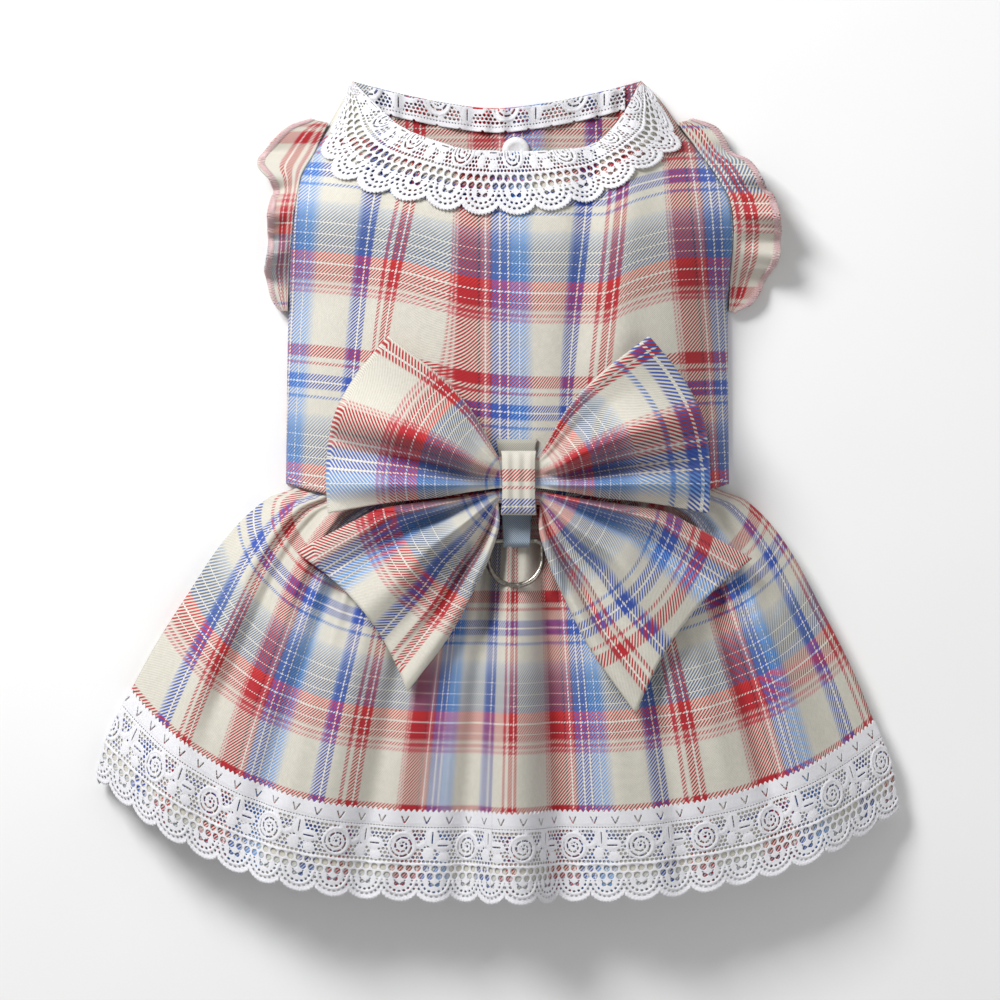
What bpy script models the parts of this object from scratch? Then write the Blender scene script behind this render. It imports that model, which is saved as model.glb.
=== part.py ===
"""Pet dress lying flat on its belly side, neck towards +Y, in metres with +Z up.

A bodice of one upper panel and two belly panels that overlap, a gathered skirt, lace at
the neck and hem, a frill round each armhole, and a bow on a tab that carries a D-ring.
Each piece is a thin shell over a grid of points that the functions below work out.
"""
import math

import bpy
import numpy as np

# Cloth and clearances
WALL = 0.0010
GAP = 0.0003
FOLD_CLEAR = 0.0007

# Bodice
BODICE_HALF = 0.085
BODICE_LENGTH = 0.1562
BODICE_HEIGHT = 0.0340
BODICE_CENTRE = 0.0040
NECK_LEFT = -0.0555
NECK_WIDTH = 0.1100
NECK_DROP = 0.0290
BELLY_NECK_DROP = 0.0105
HEM_SIDE = 0.0026
HEM_SAG = 0.0070
ARMHOLE_TOP = 0.1400
ARMHOLE_LENGTH = 0.0720
ARMHOLE_RISE = 0.0150
PLACKET_LEFT_EDGE = -0.0030
PLACKET_WIDTH = 0.0188
STEP_START = 0.0008
STEP_END = 0.0055
PLACKET_EASE = 0.0090
SEAM_CLEAR = 0.0005

# Skirt and its lace
SKIRT_TUCK = 0.0050
WAIST_HALF = 0.0780
SKIRT_HALF = 0.1520
SKIRT_LEFT_LENGTH = 0.1140
SKIRT_RIGHT_LENGTH = 0.1260
SKIRT_BOTTOM = -0.1512
SKIRT_HEIGHT = 0.0350
SKIRT_EDGE = 0.0065
SKIRT_LOWER_INSET = 0.965
HEM_SETTLE = 0.10
GATHERS = 13
GATHER_DEPTH = 0.0014
HEM_LACE_WIDTH = 0.0325
HEM_LACE_PROUD = 0.0012
SCALLOP_DEPTH = 0.0038

# Neck lace
COLLAR_DROP = 0.0545
COLLAR_SCALLOPS = 14
COLLAR_SCALLOP_SHARE = 0.12
COLLAR_END = 0.016
COLLAR_CLEAR = 0.0012
INNER_LACE_WIDTH = 0.0085
INNER_LACE_END = 0.0060
INNER_LACE_DROP = 0.0004
INNER_LACE_RIPPLE = 0.0008

# Sleeve frills
FRILL_REACH = 0.0200
FRILL_END_HEIGHT = 0.0046
FRILL_WAVE = 0.0022
FRILL_SPREAD = 0.0030
FRILL_FLOOR_LIFT = 0.0008

# Bow, its tab and the ring
KNOT_X = 0.0077
KNOT_Y = 0.0026
KNOT_WIDTH = 0.0131
KNOT_LENGTH = 0.0240
KNOT_HEIGHT = 0.0080
KNOT_WALL = 0.0012
WING_REACH = 0.0715
WING_RISE = 0.0550
WING_BULGE = 0.0095
WING_PUFF = 0.0075
WING_REST = 0.0052
TAIL_REACH_LEFT = 0.0835
TAIL_REACH_RIGHT = 0.0880
TAIL_DROP_LEFT = 0.0780
TAIL_DROP_RIGHT = 0.0860
TAIL_BULGE = 0.0060
TAIL_PUFF = 0.0050
TAIL_REST = 0.0022
TAB_WIDTH = 0.0108
TAB_TOP = 0.0190
TAB_FOLD = 0.0080
TAB_END = -0.0005
TAB_OFFSET = 0.0006
RING_X = 0.0064
RING_BAR_Y = -0.0191
RING_WIDTH = 0.0225
RING_DEPTH = 0.0187
RING_WIRE = 0.0021
RING_FALL = 0.0400
RING_COVER = 0.0035
RING_COVER_END = 0.0220
RING_REST_REACH = 0.0110

# Snap
SNAP_X = 0.0068
SNAP_DROP = 0.0163
SNAP_DIAMETER = 0.0106
SNAP_HEIGHT = 0.0022

# Bodice side: share of the length up, left and right half widths as shares of BODICE_HALF
BODICE_SIDE = (
    (0.00, 1.000, 0.990),
    (0.40, 0.990, 0.985),
    (0.52, 0.980, 0.990),
    (0.62, 0.962, 1.000),
    (0.70, 0.945, 0.985),
    (0.76, 0.925, 0.930),
    (0.82, 0.870, 0.860),
    (0.90, 0.800, 0.750),
    (0.95, 0.748, 0.685),
    (1.00, 0.700, 0.594),
)
# Bodice crown: share of the length up, height as a share of BODICE_HEIGHT
BODICE_CROWN = (
    (0.00, 0.97),
    (0.30, 1.00),
    (0.60, 0.96),
    (0.80, 0.74),
    (1.00, 0.30),
)
# Neck edge of the upper panel: share across, share of NECK_DROP
NECK_EDGE = (
    (0.00, 0.00),
    (0.085, 0.35),
    (0.17, 0.65),
    (0.29, 0.86),
    (0.42, 0.99),
    (0.60, 1.00),
    (0.77, 0.96),
    (0.85, 0.86),
    (0.92, 0.58),
    (1.00, 0.00),
)
# Skirt side: share down the side, share of the flare
SKIRT_SIDE = (
    (0.000, 0.00),
    (0.045, 0.00),
    (0.090, 0.17),
    (0.220, 0.38),
    (0.420, 0.58),
    (0.600, 0.745),
    (0.750, 0.86),
    (0.900, 0.965),
    (1.000, 1.00),
)
# Skirt folds: share across at the waist, share across at the hem, height in shares of
# SKIRT_HEIGHT, half width as a share across
SKIRT_FOLDS = (
    (-0.84, -0.84, 0.070, 0.060),
    (-0.74, -0.74, -0.060, 0.050),
    (-0.52, -0.56, 0.060, 0.090),
    (-0.12, -0.22, -0.100, 0.070),
    (0.03, 0.06, 0.110, 0.080),
    (0.15, 0.22, -0.110, 0.055),
    (0.40, 0.42, 0.070, 0.100),
    (0.62, 0.60, -0.060, 0.070),
    (0.80, 0.80, 0.060, 0.070),
)
# Collar lace outer edge: share across the neck, x from the bodice's centre as a share of
# BODICE_HALF, drop below the neck's ends as a share of COLLAR_DROP
COLLAR_EDGE = (
    (0.00, -0.700, 0.000),
    (0.04, -0.738, 0.206),
    (0.085, -0.785, 0.352),
    (0.13, -0.832, 0.508),
    (0.17, -0.792, 0.683),
    (0.22, -0.682, 0.802),
    (0.29, -0.529, 0.873),
    (0.36, -0.376, 0.921),
    (0.43, -0.229, 0.980),
    (0.50, -0.076, 0.997),
    (0.57, 0.076, 0.994),
    (0.64, 0.218, 0.958),
    (0.71, 0.353, 0.903),
    (0.77, 0.459, 0.839),
    (0.83, 0.553, 0.728),
    (0.88, 0.659, 0.628),
    (0.92, 0.776, 0.472),
    (0.955, 0.710, 0.306),
    (0.98, 0.648, 0.150),
    (1.00, 0.594, 0.000),
)
# Frill reach: share down the armhole, left and right reach as shares of FRILL_REACH
FRILL_OUTLINE = (
    (0.00, 0.35, 0.30),
    (0.07, 0.75, 0.62),
    (0.16, 1.00, 0.66),
    (0.24, 0.92, 0.78),
    (0.31, 0.58, 0.83),
    (0.38, 0.46, 0.84),
    (0.47, 0.50, 0.88),
    (0.58, 0.48, 0.92),
    (0.68, 0.44, 0.90),
    (0.78, 0.48, 0.80),
    (0.87, 0.38, 0.60),
    (0.94, 0.24, 0.38),
    (1.00, 0.12, 0.12),
)
# Bow wing: share out, then the upper edge's reach and rise and the lower edge's reach and
# rise, as shares of WING_REACH and WING_RISE
WING_SHAPE = (
    (0.00, 0.105, 0.175, 0.105, -0.035),
    (0.15, 0.147, 0.270, 0.250, -0.060),
    (0.35, 0.245, 0.490, 0.430, -0.100),
    (0.60, 0.390, 0.700, 0.650, -0.130),
    (1.00, 0.680, 1.000, 1.000, -0.205),
)
# Bow wing folds: place across from the upper edge, height as a share of WING_PUFF, width
WING_FOLDS = (
    (0.20, 0.25, 0.12),
    (0.42, 0.45, 0.12),
    (0.62, -0.75, 0.10),
    (0.82, 0.45, 0.11),
)
# Bow tail: share out, then the upper edge's reach and drop and the lower edge's reach and
# drop, as shares of the tail's reach and drop
TAIL_SHAPE = (
    (0.00, 0.088, 0.035, 0.090, 0.095),
    (0.15, 0.250, 0.065, 0.085, 0.185),
    (0.35, 0.430, 0.090, 0.125, 0.345),
    (0.55, 0.625, 0.125, 0.200, 0.515),
    (0.75, 0.745, 0.185, 0.285, 0.690),
    (1.00, 1.000, 0.330, 0.495, 1.000),
)
# Bow tail folds: place across from the upper edge, height as a share of TAIL_PUFF, width
TAIL_FOLDS = (
    (0.10, 0.35, 0.10),
    (0.34, -0.80, 0.10),
    (0.58, 0.60, 0.13),
    (0.88, -0.50, 0.07),
)

BELLY_TOP = WALL
SKIRT_FLOOR = BELLY_TOP + GAP
SEAM_HEIGHT = BELLY_TOP + SEAM_CLEAR + WALL
NECK_TOP_Y = BODICE_LENGTH
EDGE_POWER = 4.0
HEM_POWER = 3.2

SKIRT_COLUMNS = 52
SKIRT_LOWER_COLUMNS = 22
SKIRT_ROWS = (0.0, 0.045, 0.11, 0.22, 0.38, 0.57, 0.78, 1.0)
LACE_STEPS = 4


def smooth(table, place, column=1):
    """Read a table's column at a place, with a cubic through its rows and no overshoot."""
    places = [row[0] for row in table]
    values = [row[column] for row in table]
    last = len(places) - 1
    place = min(max(place, places[0]), places[last])
    index = 0
    while index < last - 1 and place > places[index + 1]:
        index += 1
    rises = [(values[i + 1] - values[i]) / (places[i + 1] - places[i]) for i in range(last)]

    def slope(i):
        if i == 0:
            return rises[0]
        if i == last:
            return rises[last - 1]
        if rises[i - 1] * rises[i] <= 0.0:
            return 0.0
        return 2.0 * rises[i - 1] * rises[i] / (rises[i - 1] + rises[i])

    span = places[index + 1] - places[index]
    t = (place - places[index]) / span
    start = values[index] * (2 * t ** 3 - 3 * t ** 2 + 1)
    end = values[index + 1] * (3 * t ** 2 - 2 * t ** 3)
    start_slope = slope(index) * span * (t ** 3 - 2 * t ** 2 + t)
    end_slope = slope(index + 1) * span * (t ** 3 - t ** 2)
    return start + end + start_slope + end_slope


def ease(low, high, value):
    """Go smoothly from 0 at low to 1 at high."""
    t = min(max((value - low) / (high - low), 0.0), 1.0)
    return t * t * (3.0 - 2.0 * t)


def mix(a, b, share):
    return a + (b - a) * share


def bodice_side(y, side):
    """The x of the bodice's side edge; side is -1 on the left and 1 on the right."""
    column = 1 if side < 0 else 2
    half = BODICE_HALF * smooth(BODICE_SIDE, y / BODICE_LENGTH, column)
    return BODICE_CENTRE + side * half


def hem_y(share):
    """The bodice's lower edge, which sags between its sides."""
    return HEM_SIDE - HEM_SAG * (1.0 - abs(share) ** EDGE_POWER)


def armhole_share(y):
    """0 at the armhole's upper end, 1 at its lower end."""
    return (ARMHOLE_TOP - y) / ARMHOLE_LENGTH


def bodice_edge_height(y):
    """The upper panel's side edge lifts off the belly panel along the armhole."""
    share = armhole_share(y)
    if share <= 0.0 or share >= 1.0:
        return SEAM_HEIGHT
    return SEAM_HEIGHT + ARMHOLE_RISE * math.sin(math.pi * share) ** 2


def bodice_z(x, y):
    """The outer face of the upper panel over a place in plan."""
    side = -1 if x < BODICE_CENTRE else 1
    edge_x = bodice_side(y, side)
    share = min(abs((x - BODICE_CENTRE) / (edge_x - BODICE_CENTRE)), 1.0)
    crown = BODICE_HEIGHT * smooth(BODICE_CROWN, y / BODICE_LENGTH)
    edge = bodice_edge_height(y)
    return edge + (crown - edge) * (1.0 - share ** EDGE_POWER)


def neck_point(share):
    """A point in plan on the upper panel's neck edge."""
    x = NECK_LEFT + NECK_WIDTH * share
    return x, NECK_TOP_Y - NECK_DROP * smooth(NECK_EDGE, share)


def belly_neck_y(x):
    """The neck edge of the belly panels, a shallow curve."""
    share = min(max((x - NECK_LEFT) / NECK_WIDTH, 0.0), 1.0)
    return NECK_TOP_Y - BELLY_NECK_DROP * (1.0 - abs(2.0 * share - 1.0) ** 1.5)


def bodice_plan(across, down):
    """A point in plan on the upper panel; across and down run from 0 to 1."""
    neck_x, neck_y = neck_point(across)
    hem_share = 2.0 * across - 1.0
    left_hem_x = bodice_side(HEM_SIDE, -1)
    right_hem_x = bodice_side(HEM_SIDE, 1)
    foot_x = mix(left_hem_x, right_hem_x, across)
    foot_y = hem_y(hem_share)
    side_y = mix(NECK_TOP_Y, HEM_SIDE, down)
    side_x = mix(bodice_side(side_y, -1), bodice_side(side_y, 1), across)
    straight_neck_x = NECK_LEFT + NECK_WIDTH * across
    corner_x = mix(straight_neck_x, foot_x, down)
    x = mix(neck_x, foot_x, down) + side_x - corner_x
    y = mix(neck_y, foot_y, down)
    return x, y


def skirt_side_x(down, side):
    """The x of the skirt's side fold."""
    centre = mix(BODICE_CENTRE, 0.0, down)
    half = WAIST_HALF + (SKIRT_HALF - WAIST_HALF) * smooth(SKIRT_SIDE, down)
    return centre + side * half


def skirt_ends_y(share):
    """The y of the skirt's upper edge and of its cloth hem."""
    top = hem_y(share) + SKIRT_TUCK
    length = SKIRT_LEFT_LENGTH if share < 0 else SKIRT_RIGHT_LENGTH
    side_y = HEM_SIDE + SKIRT_TUCK - length
    bottom = side_y + (SKIRT_BOTTOM - side_y) * (1.0 - abs(share) ** HEM_POWER)
    return top, bottom


def skirt_plan(share, down):
    x = mix(skirt_side_x(min(down, 1.0), -1), skirt_side_x(min(down, 1.0), 1), (share + 1) / 2)
    top, bottom = skirt_ends_y(share)
    return x, mix(top, bottom, down)


def skirt_z(share, down):
    """The outer face of the skirt's upper layer, with its folds and gathers."""
    waist_height = BODICE_HEIGHT * BODICE_CROWN[0][1] - WALL - 2.0 * FOLD_CLEAR
    out = ease(0.06, 0.55, down)
    settle = HEM_SETTLE * SKIRT_HEIGHT * ease(0.6, 1.0, down)
    crown = mix(waist_height, SKIRT_HEIGHT, out) - settle
    height = SKIRT_EDGE + (crown - SKIRT_EDGE) * (1.0 - abs(share) ** EDGE_POWER)
    for waist_share, hem_share, rise, width in SKIRT_FOLDS:
        place = mix(waist_share, hem_share, down)
        height += rise * SKIRT_HEIGHT * out * math.exp(-((share - place) / width) ** 2)
    gathers = 0.5 - 0.5 * math.cos(math.pi * GATHERS * (share + 1.0))
    fade = ease(0.0, 0.10, down) * (1.0 - ease(0.15, 0.60, down))
    inside = 1.0 - abs(share) ** (2.0 * EDGE_POWER)
    return height - GATHER_DEPTH * gathers * fade * inside


def cover_z(x, y):
    """The top face of whatever cloth lies uppermost at a place in plan."""
    side = -1 if x < BODICE_CENTRE else 1
    share = (x - BODICE_CENTRE) / abs(bodice_side(HEM_SIDE, side) - BODICE_CENTRE)
    if abs(share) <= 1.0 and y >= hem_y(share):
        return bodice_z(x, y)
    down = 0.3
    for _ in range(12):
        left = skirt_side_x(down, -1)
        right = skirt_side_x(down, 1)
        share = min(max(2.0 * (x - left) / (right - left) - 1.0, -1.0), 1.0)
        top, bottom = skirt_ends_y(share)
        down = min(max((top - y) / (top - bottom), 0.0), 1.0)
    return skirt_z(share, down)


def level_z(x, y, reach=0.004):
    """The highest cloth near a place, which a piece laid across it has to clear."""
    steps = (-reach, 0.0, reach)
    return max(cover_z(x + dx, y + dy) for dx in steps for dy in steps)


def grid_normals(points, closed):
    """Unit normals of a grid; rows run down, columns run across or round."""
    if closed:
        across = np.roll(points, -1, axis=1) - np.roll(points, 1, axis=1)
    else:
        across = np.gradient(points, axis=1)
    down = np.gradient(points, axis=0)
    normals = np.cross(down, across)
    return normals / np.linalg.norm(normals, axis=2, keepdims=True)


def finish_object(name, vertices, faces, colour, roughness, metallic=0.0):
    """Make a named object of one mesh with its own Principled material."""
    mesh = bpy.data.meshes.new(name)
    mesh.from_pydata([tuple(v) for v in vertices], [], faces)
    mesh.validate()
    mesh.update()
    mesh.shade_smooth()
    mesh.set_sharp_from_angle(angle=math.radians(45))
    material = bpy.data.materials.new(name)
    material.use_nodes = True
    principled = material.node_tree.nodes["Principled BSDF"]
    principled.inputs["Base Color"].default_value = (*colour, 1.0)
    principled.inputs["Roughness"].default_value = roughness
    principled.inputs["Metallic"].default_value = metallic
    mesh.materials.append(material)
    piece = bpy.data.objects.new(name, mesh)
    bpy.context.scene.collection.objects.link(piece)
    return piece


def shell_faces(rows, columns, closed, holes):
    """Faces of two grids, outer then inner, joined along every free edge."""
    inner = rows * columns
    outer_faces = []
    spans = columns if closed else columns - 1
    for row in range(rows - 1):
        for column in range(spans):
            if (row, column) in holes:
                continue
            following = (column + 1) % columns
            a = row * columns + column
            b = (row + 1) * columns + column
            c = (row + 1) * columns + following
            d = row * columns + following
            outer_faces.append((a, b, c, d))
    edges = set()
    for face in outer_faces:
        for index in range(4):
            edges.add((face[index], face[(index + 1) % 4]))
    faces = list(outer_faces)
    for face in outer_faces:
        faces.append(tuple(vertex + inner for vertex in reversed(face)))
    for start, end in sorted(edges):
        if (end, start) not in edges:
            faces.append((end, start, start + inner, end + inner))
    return faces


def shell(name, outer, wall, colour, roughness=0.85, closed=False, holes=(), inner=None):
    """Give a grid of outer points a wall on the side away from its normals."""
    outer = np.array(outer, dtype=float)
    if inner is None:
        inner = outer - grid_normals(outer, closed) * wall
    rows, columns = outer.shape[:2]
    faces = shell_faces(rows, columns, closed, set(holes))
    vertices = np.concatenate((outer.reshape(-1, 3), np.array(inner).reshape(-1, 3)))
    used = sorted({vertex for face in faces for vertex in face})
    new_index = {vertex: index for index, vertex in enumerate(used)}
    faces = [tuple(new_index[vertex] for vertex in face) for face in faces]
    return finish_object(name, vertices[used], faces, colour, roughness)


CREAM = (0.66, 0.63, 0.55)
PLAID_RED = (0.52, 0.12, 0.12)
LACE_WHITE = (0.86, 0.86, 0.88)
TAB_GREY = (0.24, 0.30, 0.36)
NICKEL = (0.60, 0.56, 0.50)


def build_bodice_back():
    rows = 12
    columns = 23
    grid = []
    for row in range(rows):
        line = []
        for column in range(columns):
            x, y = bodice_plan(column / (columns - 1), row / (rows - 1))
            line.append((x, y, bodice_z(x, y)))
        grid.append(line)
    return shell("bodice_back", grid, WALL, CREAM)


def belly_panel_columns(outer_x, side):
    """The x of each column of a belly panel, with a pair where the right one steps down."""
    placket_right_edge = PLACKET_LEFT_EDGE + PLACKET_WIDTH
    if side < 0:
        return [mix(outer_x, placket_right_edge, i / 8.0) for i in range(9)]
    step_start = placket_right_edge + STEP_START
    step_end = placket_right_edge + STEP_END
    near = [PLACKET_LEFT_EDGE, 0.5 * (PLACKET_LEFT_EDGE + placket_right_edge), step_start]
    return near + [mix(step_end, outer_x, i / 5.0) for i in range(6)]


def build_belly_panel(name, side):
    """A belly panel; the right one steps up over the left one along the placket."""
    rows = 13
    grid = []
    for row in range(rows):
        down = row / (rows - 1)
        side_y = mix(NECK_TOP_Y, HEM_SIDE, down)
        line = []
        for column, x in enumerate(belly_panel_columns(bodice_side(side_y, side), side)):
            share = (x - BODICE_CENTRE) / BODICE_HALF
            y = mix(belly_neck_y(x), hem_y(min(max(share, -1.0), 1.0)), down)
            lifted = side > 0 and column < 3
            lift = WALL + GAP if lifted else 0.0
            line.append((x, y, BELLY_TOP + lift))
        grid.append(line)
    outer = np.array(grid)
    inner = outer - np.array((0.0, 0.0, WALL))
    return shell(name, outer, WALL, CREAM, inner=inner)


def placket_cover(x):
    """1 over the placket's double layer, easing to 0 on both sides of it."""
    middle = PLACKET_LEFT_EDGE + 0.5 * PLACKET_WIDTH
    away = abs(x - middle) - 0.5 * PLACKET_WIDTH
    return 1.0 - ease(PLACKET_EASE, 2.0 * PLACKET_EASE, away)


def skirt_ring():
    """Grid of the skirt's outer face: the upper layer, then the lower one back."""
    upper = [-1.0 + 2.0 * i / SKIRT_COLUMNS for i in range(SKIRT_COLUMNS + 1)]
    steps = [i / (SKIRT_LOWER_COLUMNS - 1) for i in range(SKIRT_LOWER_COLUMNS)]
    lower = [SKIRT_LOWER_INSET * (1.0 - 2.0 * step) for step in steps]
    grid = []
    for down in SKIRT_ROWS:
        line = []
        for share in upper:
            x, y = skirt_plan(share, down)
            line.append((x, y, skirt_z(share, down)))
        for share in lower:
            x, y = skirt_plan(share, down)
            over_placket = (WALL + GAP) * placket_cover(x) * (1.0 - ease(0.12, 0.22, down))
            line.append((x, y, SKIRT_FLOOR + over_placket))
        grid.append(line)
    return np.array(grid)


def build_skirt():
    return shell("skirt", skirt_ring(), WALL, PLAID_RED, closed=True)


def read_grid(grid, row_place, column_place):
    """Read a closed grid between its points, and past its last row in a straight line."""
    rows, columns = grid.shape[:2]
    row = min(int(row_place), rows - 2)
    t = row_place - row
    column = int(column_place) % columns
    s = column_place - int(column_place)
    following = (column + 1) % columns
    above = mix(grid[row][column], grid[row][following], s)
    below = mix(grid[row + 1][column], grid[row + 1][following], s)
    return mix(above, below, t)


def row_at(down):
    """The grid row place of a share down the skirt."""
    index = 0
    while index < len(SKIRT_ROWS) - 2 and down > SKIRT_ROWS[index + 1]:
        index += 1
    span = SKIRT_ROWS[index + 1] - SKIRT_ROWS[index]
    return index + (down - SKIRT_ROWS[index]) / span


def build_hem_lace():
    """A band round the outside of the hem, scalloped, with a hole over each scallop."""
    skirt = skirt_ring()
    normals = grid_normals(skirt, True)
    places = [i / 2.0 for i in range(2 * SKIRT_COLUMNS)]
    places += [SKIRT_COLUMNS + i / 4.0 for i in range(4 * (SKIRT_LOWER_COLUMNS + 1))]
    overlap = HEM_LACE_WIDTH - HEM_LACE_PROUD - SCALLOP_DEPTH
    drops = (0.0, 0.36, 0.58, 0.86)
    outer = [[] for _ in range(len(drops) + 1)]
    inner = [[] for _ in range(len(drops) + 1)]
    for number, place in enumerate(places):
        top = read_grid(skirt, 0, place)
        bottom = read_grid(skirt, len(SKIRT_ROWS) - 1, place)
        length = np.linalg.norm(top - bottom)
        scallop = math.sin(math.pi * (number % LACE_STEPS) / LACE_STEPS)
        edge = HEM_LACE_PROUD + SCALLOP_DEPTH * scallop
        for row, drop in enumerate(list(drops) + [None]):
            past_hem = edge if drop is None else overlap * (drop - 1.0)
            row_place = row_at(1.0 + past_hem / length)
            point = read_grid(skirt, row_place, place)
            normal = read_grid(normals, min(row_place, len(SKIRT_ROWS) - 1), place)
            normal = normal / np.linalg.norm(normal)
            outer[row].append(point + normal * (GAP + WALL))
            inner[row].append(point + normal * GAP)
    holes = [(1, column) for column in range(len(places)) if column % LACE_STEPS in (1, 2)]
    return shell("hem_lace", outer, WALL, LACE_WHITE, closed=True, holes=holes, inner=inner)


def collar_point(across, out):
    """A point in plan on the collar lace: out is 0 at the neck edge, 1 at the outer edge."""
    neck_x, neck_y = neck_point(across)
    outer_x = BODICE_CENTRE + BODICE_HALF * smooth(COLLAR_EDGE, across, 1)
    outer_y = NECK_TOP_Y - COLLAR_DROP * smooth(COLLAR_EDGE, across, 2)
    return mix(neck_x, outer_x, out), mix(neck_y, outer_y, out)


def build_neck_lace():
    """The collar band on the upper panel, scalloped, with a hole over each scallop."""
    columns = COLLAR_SCALLOPS * LACE_STEPS + 1
    drops = (0.0, 0.30, 0.55, 0.78, 1.0)
    grid = []
    for row, drop in enumerate(drops):
        line = []
        for column in range(columns):
            across = mix(COLLAR_END, 1.0 - COLLAR_END, column / (columns - 1))
            scallop = 1.0 - math.sin(math.pi * (column % LACE_STEPS) / LACE_STEPS)
            out = drop
            if row == len(drops) - 1:
                out -= COLLAR_SCALLOP_SHARE * scallop
            x, y = collar_point(across, out)
            line.append((x, y, bodice_z(x, y)))
        grid.append(line)
    base = np.array(grid)
    normals = grid_normals(base, False)
    outer = base + normals * (COLLAR_CLEAR + WALL)
    inner = base + normals * COLLAR_CLEAR
    holes = []
    for column in range(8, columns - 9):
        if column % LACE_STEPS in (1, 2):
            holes.append((1, column))
    return shell("neck_lace", outer, WALL, LACE_WHITE, holes=holes, inner=inner)


def belly_top_z(x):
    """The inner face of the belly layer, which is higher along the placket."""
    placket_right_edge = PLACKET_LEFT_EDGE + PLACKET_WIDTH
    step = ease(PLACKET_LEFT_EDGE - STEP_END, PLACKET_LEFT_EDGE - STEP_START, x)
    step -= ease(placket_right_edge + STEP_START, placket_right_edge + STEP_END, x)
    return BELLY_TOP + (WALL + GAP) * step


def build_neck_lace_inner():
    """The lace folded over the belly layer's neck edge, as a strip on its inner face."""
    columns = 33
    rows = 3
    start = NECK_LEFT + INNER_LACE_END
    end = NECK_LEFT + NECK_WIDTH - INNER_LACE_END
    grid = []
    for row in range(rows):
        line = []
        for column in range(columns):
            x = mix(start, end, column / (columns - 1))
            ripple = INNER_LACE_RIPPLE * math.sin(math.pi * column / 2.0) if row == rows - 1 else 0.0
            width = (INNER_LACE_WIDTH + ripple) * row / (rows - 1)
            y = belly_neck_y(x) - INNER_LACE_DROP - width
            line.append((x, y, belly_top_z(x) + GAP + WALL))
        grid.append(line)
    outer = np.array(grid)
    inner = outer - np.array((0.0, 0.0, WALL))
    return shell("neck_lace_inner", outer, WALL, LACE_WHITE, inner=inner)


def build_frill(name, side):
    """A frill round an armhole: a short flared tube, its lower half on the floor."""
    half_columns = 18
    reaches = (0.0, 0.35, 0.70, 1.0)
    column_outline = 1 if side < 0 else 2
    shares = [i / half_columns for i in range(half_columns + 1)]
    upper = [(share, True) for share in shares]
    lower = [(share, False) for share in reversed(shares[1:-1])]
    ring = upper + lower
    grid = []
    for reach in reaches:
        line = []
        for share, is_upper in ring:
            y = ARMHOLE_TOP - ARMHOLE_LENGTH * share
            edge_x = bodice_side(y, side) + side * FOLD_CLEAR
            outline = smooth(FRILL_OUTLINE, share, column_outline)
            x = edge_x + side * FRILL_REACH * outline * reach
            spread = (share - 0.5) * FRILL_SPREAD * reach
            wave = FRILL_WAVE * reach * math.sin(2.0 * math.pi * 4.5 * share)
            belly = math.sin(math.pi * share)
            if is_upper:
                lift = max(bodice_edge_height(y), FRILL_END_HEIGHT)
                droop = mix(1.0, 0.85, reach * belly)
                z = lift * droop + wave * belly
            else:
                z = (FRILL_FLOOR_LIFT + 0.3 * wave) * reach * belly
                z = max(z, 0.0)
            line.append((x, y - spread, z))
        grid.append(line)
    if side > 0:
        grid = [line[::-1] for line in grid]
    return shell(name, grid, WALL, CREAM, closed=True)


def fold_height(folds, across):
    return sum(rise * math.exp(-((across - place) / width) ** 2) for place, rise, width in folds)


def ring_far_y():
    return RING_BAR_Y - (RING_DEPTH - RING_WIRE)


def ring_ends_z():
    """Heights of the ring's wire centre at its bar and at its far end."""
    far_z = level_z(RING_X, ring_far_y(), RING_REST_REACH) + GAP + 0.5 * RING_WIRE
    return ring_bar_z(), far_z


def over_ring_z(x, y):
    """The height that a sheet's upper face needs over the ring, falling off round it."""
    bar_z, far_z = ring_ends_z()
    share = min(max((y - RING_BAR_Y) / (ring_far_y() - RING_BAR_Y), 0.0), 1.0)
    top = mix(bar_z, far_z, share) + 0.5 * RING_WIRE + FOLD_CLEAR + WALL
    away_x = abs(x - RING_X) - 0.5 * RING_WIDTH
    away_y = max(ring_far_y() - y, y - RING_BAR_Y)
    away = max(away_x, away_y, 0.0)
    return top - RING_FALL * ease(RING_COVER, RING_COVER_END, away)


def bow_z(x, y, out, across, root_z, rest, puff, folds):
    """Height of a bow sheet: from the knot's level out to its rest on the cloth below."""
    ground = max(level_z(x, y) + rest, over_ring_z(x, y))
    settle = ease(0.0, 0.75, out)
    arch = math.sin(math.pi * min(out * 0.92, 1.0)) * (0.35 + 0.65 * math.sin(math.pi * across))
    relief = fold_height(folds, across) * ease(0.0, 0.35, out)
    height = mix(max(root_z, ground), ground, settle) + puff * (arch + 0.55 * relief)
    return max(height, ground)


def bow_sheet(name, shape, reach, rise, bulge, root_z, rest, puff, folds, rows, out_steps):
    """Two fans joined by a narrow neck that runs through the knot."""
    outs = [i / out_steps for i in range(out_steps, -1, -1)]
    columns = [(-1, out) for out in outs] + [(1, out) for out in reversed(outs)]
    grid = []
    for row in range(rows):
        across = row / (rows - 1)
        line = []
        for side, out in columns:
            span = reach[0] if side < 0 else reach[1]
            height = rise[0] if side < 0 else rise[1]
            top_x = smooth(shape, out, 1) * span
            top_y = smooth(shape, out, 2) * height
            low_x = smooth(shape, out, 3) * span
            low_y = smooth(shape, out, 4) * height
            swell = bulge * math.sin(math.pi * across) * out ** 4
            edge_x = low_y - top_y
            edge_y = top_x - low_x
            edge = math.hypot(edge_x, edge_y)
            x = KNOT_X + side * (mix(top_x, low_x, across) - swell * edge_x / edge)
            y = KNOT_Y + mix(top_y, low_y, across) - swell * edge_y / edge
            z = bow_z(x, y, out, across, root_z, rest, puff, folds)
            line.append((x, y, z))
        grid.append(line)
    return shell(name, grid, WALL, PLAID_RED)


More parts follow.
